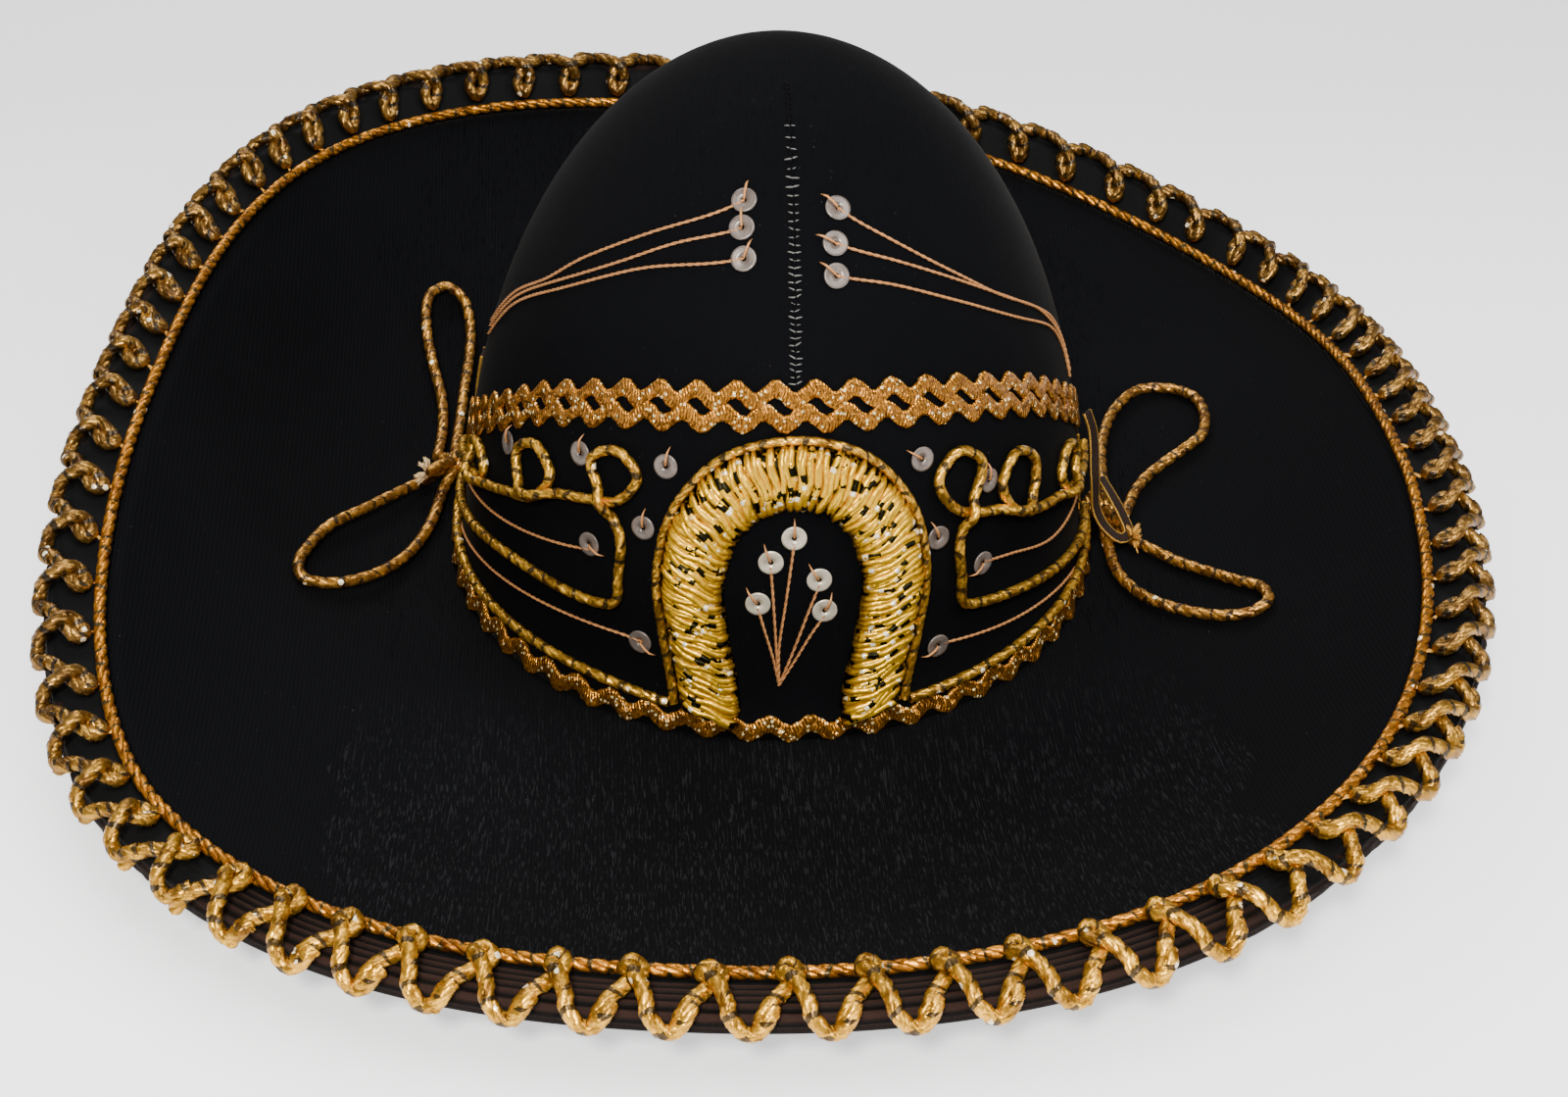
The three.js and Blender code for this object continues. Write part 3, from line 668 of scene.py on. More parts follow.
def twistedCord(name, points, finish, style, closed=False):
    line = bpy.data.curves.new(name, "CURVE")
    line.dimensions = "3D"
    for route in points if isinstance(points, list) else [points]:
        spline = line.splines.new("POLY")
        spline.points.add(len(route) - 1)
        flat = np.column_stack([route * mm, np.ones(len(route))])
        spline.points.foreach_set("co", flat.ravel())
        spline.use_cyclic_u = closed
    source = bpy.data.objects.new(name + "Line", line)
    bpy.context.scene.collection.objects.link(source)
    return grow(name, source, rope, {
        "Diameter": style["diameter"] * mm, "Strands": style["strands"], "Strand Share": style["share"],
        "Sides": style["sides"], "Lay": style["lay"] * mm, "Step": style["step"] * mm, "Material": finish})


def scattered(name, spots, outward, across, shape, finish, turn=0.0, smallest=1.0, seed=1):
    mesh = bpy.data.meshes.new(name)
    mesh.from_pydata((np.asarray(spots) * mm).tolist(), [], [])
    for key, vectors in (("outward", outward), ("across", across)):
        data = mesh.attributes.new(key, "FLOAT_VECTOR", "POINT")
        data.data.foreach_set("vector", np.asarray(vectors, float).ravel())
    source = bpy.data.objects.new(name + "Spots", mesh)
    bpy.context.scene.collection.objects.link(source)
    made = grow(name, source, scatter, {"Shape": shape, "Turn": turn, "Seed": seed, "Smallest": smallest,
                                        "Material": finish})
    made.data.polygons.foreach_set("use_smooth", [True] * len(made.data.polygons))
    return made


def tubeShape(points, radii, sides):
    points = np.asarray(points, float)
    ahead = unit(np.gradient(points, axis=0))
    side = unit(np.cross(ahead, np.array([0.02, 1.0, 0.3])))
    over = np.cross(side, ahead)
    turns = np.arange(sides) / sides * 2 * math.pi
    rings = [p + r * (np.cos(turns)[:, None] * s + np.sin(turns)[:, None] * o)
             for p, r, s, o in zip(points, radii, side, over)]
    share = np.repeat(np.linspace(-1, 1, len(points)) ** 4, sides)
    return np.vstack(rings), tubeFaces(len(points), sides, True), share


# Bow loops: free cords that lie on the brim, their routes in metres
bowCord = {"diameter": 4.0, "strands": 3, "share": 0.77, "sides": 8, "lay": 17.0, "step": 0.7}
bowLoops = {
    "bow_loop_left_back": [
        (-0.115, 0.051, 0.007), (-0.114, 0.070, 0.007), (-0.115, 0.088, 0.009), (-0.119, 0.107, 0.0135),
        (-0.122, 0.128, 0.018), (-0.121, 0.142, 0.022), (-0.115, 0.148, 0.022), (-0.109, 0.144, 0.019),
        (-0.106, 0.130, 0.014), (-0.106, 0.112, 0.011), (-0.107, 0.095, 0.0095), (-0.108, 0.075, 0.007),
        (-0.109, 0.052, 0.007)],
    "bow_loop_left_front": [
        (-0.118, 0.039, 0.006), (-0.127, 0.028, 0.008), (-0.138, 0.013, 0.011), (-0.148, -0.001, 0.014),
        (-0.154, -0.016, 0.0155), (-0.156, -0.027, 0.0165), (-0.154, -0.033, 0.015),
        (-0.147, -0.032, 0.012), (-0.139, -0.028, 0.010), (-0.130, -0.020, 0.008), (-0.122, -0.007, 0.006),
        (-0.116, 0.009, 0.006), (-0.112, 0.033, 0.006)],
    "bow_loop_right_back": [
        (0.117, 0.014, 0.006), (0.118, 0.039, 0.006), (0.122, 0.060, 0.0065), (0.129, 0.077, 0.007),
        (0.139, 0.088, 0.0075), (0.149, 0.088, 0.008), (0.157, 0.080, 0.0095), (0.159, 0.068, 0.0105),
        (0.156, 0.053, 0.010), (0.149, 0.045, 0.0095), (0.138, 0.036, 0.0075), (0.129, 0.025, 0.0065),
        (0.121, 0.006, 0.006)],
    "bow_loop_right_front": [
        (0.113, -0.009, 0.006), (0.114, -0.027, 0.006), (0.120, -0.041, 0.0065), (0.128, -0.050, 0.008),
        (0.136, -0.056, 0.0095), (0.143, -0.061, 0.012), (0.151, -0.063, 0.0145), (0.157, -0.059, 0.016),
        (0.157, -0.050, 0.015), (0.150, -0.041, 0.012), (0.142, -0.031, 0.009), (0.134, -0.022, 0.007),
        (0.127, -0.014, 0.0065), (0.120, -0.006, 0.006)],
}


def makeBowLoops():
    for node, route in bowLoops.items():
        path = smoothLine(np.array(route) / mm, 240)
        words = node.split("_")
        piece = twistedCord("bowLoop" + words[2].title() + words[3].title(), path, bowGold, bowCord)
        finishPiece(piece, [node])


makeBowLoops()
print("bow loops laid")


# Crown: a hollow velvet dome
def makeCrown():
    columns, rows = crown["columns"], crown["rows"]
    angles = np.arange(columns) / columns * 360
    rings = []
    for wall, count in ((crown["wall"], rows // 2), (0, rows)):
        shares = np.linspace(0, 1, count, endpoint=False)
        top = crown["height"] - wall
        heights = crown["foot"] + (top - crown["foot"]) * np.sin(shares * math.pi / 2)
        skin = []
        for height in heights:
            if height > crown["foot"]:
                width, depth, x, y = crownSection(min(height * crown["height"] / top, crown["height"]))
            else:
                width, depth, x, y = crownSection(height)
            turn = np.radians(angles)
            skin.append(np.stack([x + (width - wall) * np.sin(turn), y - (depth - wall) * np.cos(turn),
                                  np.full(columns, height)], axis=-1))
        rings.append(skin)
    inner, outer = rings
    vertices = np.vstack(inner[::-1] + outer)
    faces = gridFaces(len(inner) + len(outer), columns, False, True)
    poleIn, poleOut = len(vertices), len(vertices) + 1
    poles = [[crown["lean"], 0, crown["height"] - crown["wall"]], [crown["lean"], 0, crown["height"]]]
    faces += [(poleIn, (j + 1) % columns, j) for j in range(columns)]
    last = (len(inner) + len(outer) - 1) * columns
    faces += [(poleOut, last + j, last + (j + 1) % columns) for j in range(columns)]
    piece = meshObject("crownVelvet", np.vstack([vertices, poles]), faces, crownVelvetFinish)
    return finishPiece(piece, ["crown"])


# Brim: a dished sheet with its wall
def makeBrim():
    angles = np.arange(brim["columns"]) / brim["columns"] * 360
    shares = np.linspace(0, 1, brim["rows"])
    under = [onBrim(angles, share, -brim["thickness"]) for share in shares]
    over = [onBrim(angles, share, 0.0) for share in shares[::-1]]
    vertices = np.vstack(under + over)
    faces = gridFaces(2 * brim["rows"], brim["columns"], True, True)
    piece = meshObject("brimVelvet", vertices, [tuple(reversed(f)) for f in faces], velvet)
    return finishPiece(piece, ["brim"])


bindingCorners = [(0, -1 / 3), (0.72, -1), (0.94, -0.88), (1, -0.55), (0.93, -0.22), (0.70, 0.02), (0, 0)]


def bindingSection():
    corners = np.array(bindingCorners) * (binding["cloth"], binding["thickness"])
    for _ in range(3):
        after = np.roll(corners, -1, axis=0)
        cut = [corners * 0.75 + after * 0.25, corners * 0.25 + after * 0.75]
        corners = np.stack(cut, axis=1).reshape(-1, 2)
    loop = evenly(np.vstack([corners, corners[:1]]), 61)[:-1]
    ahead = unit(np.roll(loop, -1, axis=0) - np.roll(loop, 1, axis=0))
    outward = np.stack([ahead[:, 1], -ahead[:, 0]], axis=-1)
    face = np.clip((loop[:, 0] / binding["cloth"] - 0.66) / 0.12, 0, 1)
    rib = np.cos(loop[:, 1] / binding["thickness"] * 2 * math.pi * binding["ribs"])
    return loop + outward * (face * rib * binding["ribDepth"])[:, None], face


# 1 along the front of the rim, where the corded cloth shows, and 0 on the sides and the back
def frontShare(angles, half=binding["frontHalf"], fade=12):
    away = np.abs((angles + 180) % 360 - 180)
    return np.clip((half - away) / fade + 0.5, 0, 1)


def makeBinding():
    section, face = bindingSection()
    angles = rimAngles(np.arange(binding["columns"]) / binding["columns"])
    edge, across, normal = rimFrame(angles)
    front = frontShare(angles)[:, None]
    out, lift = section[:, 0], section[:, 1]
    top = (lift > -1.5) * (out > 4.0) * (out < 16.5)
    waves = np.cos(out / binding["frontRib"] * 2 * math.pi)
    # These waves set the cloth's colour, darker in the furrows between the ribs: painted shade
    paintedRibShade = front * waves[None]
    rib = front * (top * binding["frontDepth"] * waves)[None]
    fuzz = rng.normal(0, binding["fuzz"], rib.shape) * (1 - front) * (out > 14)[None]
    narrow = frontShare(angles, binding["narrowHalf"], 24)[:, None]
    width = 1 + narrow * (binding["frontCloth"] / binding["cloth"] - 1)
    vertices = (edge[:, None] + across[:, None] * (out[None] * width + fuzz)[..., None]
                + normal[:, None] * (lift[None] + rib)[..., None])
    under = np.clip(-lift / binding["thickness"] * 1.6, 0, 1)
    shade = np.maximum(np.maximum(face * 0.55, under)[None], front * (out > 4.3)[None]).ravel()
    faces = gridFaces(len(angles), len(section), True, True)
    piece = meshObject("edgeBinding", vertices.reshape(-1, 3), [tuple(reversed(f)) for f in faces],
                       bindingCloth, {"across": shade, "ridge": paintedRibShade.ravel()})
    return finishPiece(piece, ["edge_binding"])


makeCrown()
makeBrim()
makeBinding()
print("crown, brim and binding made")

# Copper cord beside the binding's joint
edgeCord = {"diameter": 4.0, "strands": 3, "share": 0.66, "sides": 7, "lay": 15.0, "step": 0.8, "out": 2.0}


def makeEdgeCord():
    angles = rimAngles(np.arange(900) / 900)
    path = onBinding(angles, edgeCord["out"], edgeCord["diameter"] / 2 + binding["seat"])
    piece = twistedCord("edgeCord", path, copperCord, edgeCord, closed=True)
    return finishPiece(piece, ["edge_cord"])


# Looped trim: each repeat is its own length of cord. It starts under the arch before it, runs in, turns
# round a small loop, crosses over itself and goes out as the next arch over the edge.
trimCord = {"diameter": 4.7, "strands": 3, "share": 0.77, "sides": 6, "lay": 17.0, "step": 0.9, "loops": 76,
            "over": 3.3, "crossFront": 0.34, "crossLeft": 0.36, "crossRight": 0.48, "crossBack": 0.62,
            "uneven": 0.03, "loopHalf": 0.12, "slant": 0.42}
# Where the cord's middle runs from the loop's head to past the arch: out and lift in millimetres
trimSideRow = [(6.0, 2.6), (10.5, 3.5), (14.5, 4.4), (17.6, 3.8), (19.8, 1.4), (20.6, -1.6)]
trimBackRow = [(6.4, 2.6), (12.0, 3.2), (16.0, 3.3), (18.8, 2.2), (20.2, 0.0), (19.8, -2.4)]
trimFrontRow = [(3.4, 4.9), (7.5, 3.7), (12.0, 3.0), (17.0, 2.7), (20.4, 0.4), (21.5, -2.6), (21.6, -4.4)]


def trimLengths():
    tables = [evenly(smoothLine(row, 80), 101) for row in (trimSideRow, trimFrontRow, trimBackRow)]
    reaches = np.linspace(0, 1.04, 101)
    lengths = []
    for i in range(trimCord["loops"]):
        head = rimAngles(np.array([i / trimCord["loops"]]))
        front = frontShare(head)[0]
        back = np.clip(0.35 - 1.4 * math.cos(math.radians(head[0])), 0, 1)
        shift, size, grip = rng.normal(0, trimCord["uneven"], 3)
        aside = math.sin(math.radians(head[0]))
        side = trimCord["crossRight"] if aside > 0 else trimCord["crossLeft"]
        side = side * (1 - back) + trimCord["crossBack"] * back
        cross = side * (1 - front) + trimCord["crossFront"] * front + grip
        half = trimCord["loopHalf"] * (1 + 4 * size)
        leg = (0.8 + cross) / 2
        points = [(-0.42, 0.93, -2.4), (-0.23, leg + 0.02, -0.4), (-0.03, cross, 0), (half, 0.45 * cross, 0),
                  (0, size, 0.3), (-half, 0.45 * cross, 1.2), (0.03, cross, trimCord["over"]),
                  (0.2, leg + 0.04, 1.4), (0.34, 0.9, 0), (0.51, 1.03, 0), (0.68, 0.91, 0),
                  (0.8, leg + 0.08, -0.6)]
        line = smoothLine(points, 90)
        shares = ((1 - front) * (1 - back), front, (1 - front) * back)
        out, lift = [sum(share * np.interp(line[:, 1], reaches, table[:, k])
                         for share, table in zip(shares, tables)) for k in (0, 1)]
        slant = trimCord["slant"] * aside * (1 - front) * np.clip(line[:, 1], 0, 1)
        angles = rimAngles((i + shift + line[:, 0] + slant) / trimCord["loops"])
        lengths.append(onBinding(angles, out, lift + line[:, 2] + binding["seat"]))
    return lengths


def makeTrim():
    piece = twistedCord("loopTrim", trimLengths(), trimGold, trimCord)
    finishPiece(piece, ["loop_trim"])
    heads = rimAngles(np.arange(trimCord["loops"]) / trimCord["loops"])
    front = frontShare(heads)
    heads = heads[(front < 0.5) & (np.cos(np.radians(heads)) > -0.6)]
    edge, across, normal = rimFrame(heads)
    spots = edge + across * 5.4 + normal * 2.6
    side = unit(np.cross(normal, across)) * rng.choice((-0.55, 0.4), len(heads))[:, None]
    shape = tipShape()
    tips = scattered("trimTips", spots, normal, unit(-across + side), shape, frayedGold, 0.5, 0.5, 3)
    bpy.data.objects.remove(shape)
    return finishPiece(tips, [])


# A frayed tip: three short tapered threads that lean apart
def tipShape():
    vertices, faces = [], []
    for lean in (-0.35, 0.0, 0.4):
        line = [(t * 4.2, lean * t * 2.2, 0.35 * math.sin(t * 3)) for t in np.linspace(0, 1, 5)]
        rings, tube, _ = tubeShape(line, [0.6, 0.55, 0.4, 0.25, 0.06], 5)
        faces += [tuple(len(vertices) + i for i in face) for face in tube]
        vertices += rings.tolist()
    return meshObject("tipShape", vertices, faces, paleThread)


makeEdgeCord()
makeTrim()
print("rim cords laid")

# Wavy braids: the tape's middle line swings about a line on the crown
braid = {"thickness": 1.3, "seat": 0.3, "perWave": 18, "columns": 7, "serration": 0.07,
         "baseHeight": 6.7, "baseWaves": 52, "baseSwing": 1.5, "baseWidth": 4.4,
         "panelWaves": 30, "panelSwing": 1.75, "panelWidth": 4.3, "panelSpacing": 3.2, "panelPhase": 0.25}
panelRows = [(-97, 0.40), (-89, 0.47), (-70, 0.68), (-53, 0.84), (-30, 0.955), (0, 1),
             (30, 0.955), (53, 0.84), (70, 0.68), (89, 0.47), (97, 0.40)]


def braidTape(name, angles, heights, width, closed, replaced):
    middle = onCrown(angles, heights)
    if closed:
        ahead = unit(np.roll(middle, -1, axis=0) - np.roll(middle, 1, axis=0))
    else:
        ahead = unit(np.gradient(middle, axis=0))
    normal = crownNormal(angles, heights)
    upward = crownUpward(angles, heights)
    side = upward + 0.25 * np.cross(normal, ahead)
    lengths = lengthsAlong(middle)
    crossing = np.linspace(-1, 1, braid["columns"])
    section = [(c, braid["seat"] + braid["thickness"] * (0.62 + 0.38 * math.sqrt(1 - 0.9 * c * c)))
               for c in crossing]
    section += [(c, braid["seat"]) for c in crossing[::-1]]
    teeth = 1 + braid["serration"] * np.sin(lengths * 2 * math.pi / 1.1)
    halves = {c: c * width / 2 * (teeth if abs(c) > 0.9 else np.ones(len(middle))) for c, _ in section}
    rows = [middle + side * halves[c][:, None] + normal * lift for c, lift in section]
    vertices = np.stack(rows, axis=1).reshape(-1, 3)
    count = len(section)
    faces = gridFaces(len(middle), count, True, True) if closed else tubeFaces(len(middle), count)
    attributes = {"along": np.repeat(lengths * mm, count),
                  "across": np.tile([c for c, _ in section], len(middle))}
    piece = meshObject(name, vertices, faces, roseBraid, attributes)
    return finishPiece(piece, replaced)


def makeBraids():
    count = braid["baseWaves"] * braid["perWave"]
    share = np.arange(count) / count
    swing = -braid["baseSwing"] * np.cos(share * 2 * math.pi * braid["baseWaves"])
    braidTape("baseBraid", share * 360, braid["baseHeight"] + swing, braid["baseWidth"], True, ["base_braid"])
    rows = [(angle, part * crown["panel"], 0) for angle, part in panelRows]
    line = smoothLine(rows, braid["panelWaves"] * braid["perWave"] + 1)
    turn = np.linspace(0, braid["panelWaves"] * 2 * math.pi, len(line))
    for name, side, phase in (("panelBraidUpper", 1, 0), ("panelBraidLower", -1, braid["panelPhase"])):
        swing = -braid["panelSwing"] * np.cos(turn + phase * 2 * math.pi)
        node = "panel_braid_upper" if side > 0 else "panel_braid_lower"
        braidTape(name, line[:, 0], line[:, 1] + side * braid["panelSpacing"] + swing, braid["panelWidth"],
                  False, [node])


makeBraids()
print("wavy braids laid")


# Cords that lie on the crown, through (angle, percent of panel height) points
def crownLine(points, count, lift):
    line = smoothLine([(a, p / 100 * crown["panel"], 0) for a, p in points], count)
    return line[:, 0], line[:, 1], offCrown(line[:, 0], line[:, 1], lift)


crownCord = {"diameter": 3.4, "strands": 3, "share": 0.77, "sides": 7, "lay": 15.0, "step": 0.7, "lift": 2.1}
fineCord = {"diameter": 3.0, "strands": 3, "share": 0.77, "sides": 7, "lay": 12.0, "step": 0.7}
scrollNeck = 1.5


def scrollLoop(angle, base, top, spread, turn):
    middle = (base + 2 * top) / 3
    neck = -scrollNeck * turn
    return [(angle - neck, base), (angle + spread * turn, middle), (angle, top),
            (angle - spread * turn, middle), (angle + neck, base)]


leftScroll = [
    (-96, 32), (-87, 37.5), (-80, 42), *scrollLoop(-74, 44.5, 53.5, 4.5, 1), (-67, 47.5), (-60, 52),
    *scrollLoop(-53.5, 57, 71.5, 5, 1), (-46, 62.5), (-39, 65.5), *scrollLoop(-34.5, 68, 81.5, 5, 1),
    (-31.5, 59), (-31, 46.5), (-31.5, 38), (-36, 36), (-42, 35.5), (-55, 34.5), (-71, 29.5), (-86, 23),
    (-98, 18)]
rightScroll = [
    (84, 40), (78, 38.5), (72, 41), *scrollLoop(66, 44.5, 57, 4.5, -1), (59, 47.5), (53, 50),
    *scrollLoop(47, 54.5, 71.5, 5, -1), (40.5, 59), (37, 60.5), *scrollLoop(32.5, 64.5, 80.5, 5, -1),
    (31, 55.5), (31, 44.5), (31.5, 35.5), (35, 33.5), (45, 30), (57, 25.5), (73, 19.5), (86, 15)]
baseCords = {"left": [(-98, 11.5), (-80, 11.5), (-60, 12.5), (-45, 13), (-32, 12.6), (-20.5, 11)],
             "right": [(20.5, 10.5), (32, 11.2), (45, 11.5), (60, 11.5), (75, 11.5), (84, 11.5)]}


def liftCrossings(path, normal, reach, height):
    raised = path.copy()
    apart = 3 * reach
    for i in range(0, len(path)):
        earlier = path[:max(0, i - apart)]
        if len(earlier):
            nearest = np.linalg.norm(earlier - path[i], axis=1).min()
            raised[i] += normal[i] * height * max(0.0, 1 - nearest / height) ** 0.5
    kernel = np.ones(9) / 9
    offset = raised - path
    for k in range(3):
        offset[:, k] = np.convolve(offset[:, k], kernel, "same")
    return path + offset


def makeCrownCords():
    for side, points in (("left", leftScroll), ("right", rightScroll)):
        angles, heights, path = crownLine(points, 700, crownCord["lift"])
        path = liftCrossings(path, crownNormal(angles, heights), 6, crownCord["diameter"])
        piece = twistedCord("scrollCord" + side.title(), path, goldCord, crownCord)
        finishPiece(piece, ["scroll_cord_" + side])
    for side, points in baseCords.items():
        _, _, path = crownLine(points, 300, crownCord["lift"])
        piece = twistedCord("baseCord" + side.title(), path, goldCord, crownCord)
        finishPiece(piece, ["base_cord_" + side])


makeCrownCords()
print("scroll and base cords laid")

# Horseshoe: a padded band under slanted satin threads, edged with a fine cord
shoe = {"width": 19, "thickness": 5, "seat": 0.3, "steps": 150, "slant": 32}
# Layers of threads over the pad: number, radius, lift, jitter of the slant in radians, and seed
shoeLayers = [("Under", 116, 1.25, 0.0, 0.12, 11), ("Over", 72, 1.1, 0.7, 0.24, 12)]
shoeRows = [(-13.5, 10.5), (-14.2, 19.5), (-16, 34), (-17.5, 52), (-15, 68.5), (-8.5, 79), (0, 82),
            (8.5, 79), (15, 68.5), (17.5, 52), (16, 34), (14.2, 19.5), (13.5, 10.5)]


def shoeFrame(count):
    angles, heights, path = crownLine(shoeRows, count, shoe["seat"])
    normal = crownNormal(angles, heights)
    ahead = unit(np.gradient(onCrown(angles, heights), axis=0))
    side = unit(np.cross(normal, ahead))
    return path, side, normal, ahead


def archOf(share):
    return np.maximum(0, 1 - np.abs(share) ** 2.4) ** 0.5


def makeHorseshoe():
    path, side, normal, ahead = shoeFrame(shoe["steps"])
    shares = np.linspace(-1, 1, 15)
    top = [(c * shoe["width"] / 2, archOf(c) * shoe["thickness"] * 0.86) for c in shares]
    section = top + [(c * shoe["width"] / 2 * 0.98, 0.0) for c in shares[-2:0:-1]]
    vertices = np.stack([path + side * x + normal * y for x, y in section], axis=1).reshape(-1, 3)
    count = len(section)
    # An along of 0.8 darkens the pad in satinPaint: painted shade between the threads
    pad = meshObject("horseshoePad", vertices, tubeFaces(len(path), count, True), satinGold,
                     {"along": np.full(len(vertices), 0.8)})
    finishPiece(pad, ["horseshoe"])
    for label, count, radius, lift, jitter, seed in shoeLayers:
        line = [(c * shoe["width"] / 2 * 1.08, 0.5 * math.sin(c * 5 + seed),
                 archOf(c * 0.985) * shoe["thickness"] * 0.9 + lift) for c in np.linspace(-1, 1, 13)]
        radii = [radius * 0.6] + [radius] * 11 + [radius * 0.6]
        rings, faces, share = tubeShape(line, radii, 6)
        length = np.repeat([x * mm for x, _, _ in line], 6)
        # along is 1 at a thread's ends, where satinPaint darkens it: painted shade where the thread dips to the
        # pad
        shape = meshObject("threadShape", rings, faces, satinGold, {"along": share, "length": length})
        path, side, normal, ahead = shoeFrame(count)
        slant = math.radians(shoe["slant"]) * np.cos(np.linspace(0, math.pi, count))[:, None]
        leaning = side * np.cos(slant) + ahead * np.sin(slant)
        threads = scattered("horseshoeThreads" + label, path + normal * 0.1, normal, leaning, shape,
                            satinGold, jitter, 0.92, seed)
        bpy.data.objects.remove(shape)
        finishPiece(threads, [])
    path, side, normal, ahead = shoeFrame(500)
    offset = shoe["width"] / 2 + fineCord["diameter"] / 2 + shoe["seat"]
    edging = path[5:-5] + side[5:-5] * offset + normal[5:-5] * fineCord["diameter"] / 3
    piece = twistedCord("horseshoeCord", edging, goldCord, fineCord)
    finishPiece(piece, ["horseshoe_cord"])


makeHorseshoe()
print("horseshoe stitched")

# Sequins: pale discs with a hole, each held by a stitch that runs from the hole past the rim.
# Columns: angle, percent of panel height, and the stitch's direction in degrees, 0 up and 90 to the right.
sequin = {"diameter": 7.6, "hole": 1.6, "thickness": 0.5, "dish": 0.15, "seat": 0.3, "sides": 28,
          "stitchReach": 6.4}
sequins = {
    "shoe": [(0, 65, 0), (-4, 58, -20), (4.5, 52.5, -30), (-6, 45.5, -35), (5.5, 43, 20)],
    "left": [(-63.5, 64, 0), (-43, 76, 0), (-24.5, 81, 5), (-27.5, 62.5, 0), (-38, 52, 105),
             (-26.5, 27.5, 120)],
    "right": [(25, 81.5, -50), (39.5, 68, 0), (27, 58, -20), (36.5, 44.5, -110), (26.5, 24, -110)],
    "crown_left": [(-17, 143.5, 0), (-16, 138.5, -10), (-14, 132.5, 15)],
    "crown_right": [(15, 142, -40), (12, 135.5, -60), (11, 129, -45)],
}


def sequinShape():
    sides = sequin["sides"]
    turns = np.arange(sides) / sides * 2 * math.pi
    radii = [sequin["hole"] / 2, sequin["diameter"] * 0.3, sequin["diameter"] * 0.42, sequin["diameter"] / 2]
    rows = []
    for lift in (sequin["thickness"], 0.0):
        for r in radii if lift else radii[::-1]:
            rise = lift + sequin["dish"] * (2 * r / sequin["diameter"]) ** 2
            rows.append([(r * math.cos(t), r * math.sin(t), rise) for t in turns])
    vertices = np.array(rows).reshape(-1, 3)
    return meshObject("sequinShape", vertices, gridFaces(len(rows), sides, True, True), sequinFilm)


def stitchShape():
    reach = sequin["stitchReach"]
    line = [(0.1, 0, 0.1), (0.5, 0, 1.0), (0.35 * reach, 0, 1.6), (0.7 * reach, 0, 1.7),
            (0.85 * reach, 0, 1.1), (reach, 0, 0.1)]
    rings, faces, _ = tubeShape(line, [0.25, 0.36, 0.42, 0.38, 0.25, 0.08], 6)
    return meshObject("stitchShape", rings, faces, copperThread)


def makeSequins():
    disc, stitch = sequinShape(), stitchShape()
    for place, rows in sequins.items():
        angles, percents, tips = np.array(rows, float).T
        heights = percents / 100 * crown["panel"]
        normal = crownNormal(angles, heights)
        spots = offCrown(angles, heights, sequin["seat"])
        upward = crownUpward(angles, heights)
        rightward = np.cross(upward, normal)
        turn = np.radians(tips)[:, None]
        tip = upward * np.cos(turn) + rightward * np.sin(turn)
        words = "".join(word.title() for word in place.split("_"))
        nodes = [f"sequin_{place}_{i + 1}" for i in range(len(rows))]
        # The horseshoe's sequins take the lighter copy of the finish: painted highlight
        discs = scattered("sequins" + words, spots, normal, tip, disc,
                          sequinPaintedLit if place == "shoe" else sequinFilm)
        finishPiece(discs, nodes)
        stitches = scattered("sequinStitches" + words, spots, normal, tip, stitch, copperThread)
        finishPiece(stitches, [])
    bpy.data.objects.remove(disc)
    bpy.data.objects.remove(stitch)


makeSequins()
print("sequins sewn")

# Loose embroidery threads on the crown: angle, height in millimetres
thread = {"diameter": 1.1, "strands": 2, "share": 0.64, "sides": 5, "lay": 5.0, "step": 0.8, "lift": 0.65}
threadRoutes = {
    "leftUpper": [(-90, 33), (-78, 39), (-55, 49), (-41, 55), (-36, 57.5)],
    "leftLower": [(-96, 8), (-72, 21), (-48, 29), (-30, 31.5), (-26, 31)],
    "rightUpper": [(80, 36), (58, 39), (44, 47), (37, 50)],
    "rightLower": [(77, 10), (57, 18), (38, 24), (28, 27)],
    "shoeOne": [(-2, 22), (-2.2, 35), (-1.2, 52), (0, 71)],
    "shoeTwo": [(-2, 22), (-2.6, 34), (-3.3, 50), (-4, 63.5)],
    "shoeThree": [(-2, 22), (0.2, 34), (2.5, 47), (4.5, 57)],
    "shoeFour": [(-2, 22), (-3.2, 32), (-4.8, 42), (-6, 49.5)],
    "shoeFive": [(-2, 22), (0.6, 31), (3.2, 40), (5.5, 46.5)],
    "crownLeftHigh": [(-92, 87), (-80, 109), (-69, 122), (-59, 135), (-42, 149), (-17, 160.7)],
    "crownLeftMiddle": [(-91, 86), (-79, 108), (-67, 122), (-48, 139), (-34, 148.5), (-16, 155)],
    "crownLeftLow": [(-90, 84), (-78, 106.5), (-65, 121), (-41, 140), (-14, 148.5)],
    "crownRightHigh": [(15, 159), (30, 149), (44, 136.5), (56, 123.5), (70, 108.5), (80, 88), (81, 76)],
    "crownRightMiddle": [(12, 151.8), (29, 144.5), (44, 134.5), (63, 116.5), (76, 100.5), (81, 86), (82, 75)],
    "crownRightLow": [(11, 144.5), (26, 139.5), (42, 129.5), (59, 114.5), (74, 98.5), (79, 86), (80, 75)],
}


def makeThreads():
    for name, points in threadRoutes.items():
        percents = [(a, h / crown["panel"] * 100) for a, h in points]
        _, _, path = crownLine(percents, 120, thread["lift"])
        piece = twistedCord("thread" + name[0].upper() + name[1:], path, copperThread, thread)
        finishPiece(piece, [])


# Front seam of the crown, closed with ladder stitches
seam = {"low": 118, "high": 174, "stitches": 34, "width": 4.2, "lift": 0.1, "ridgeLift": 0.25}


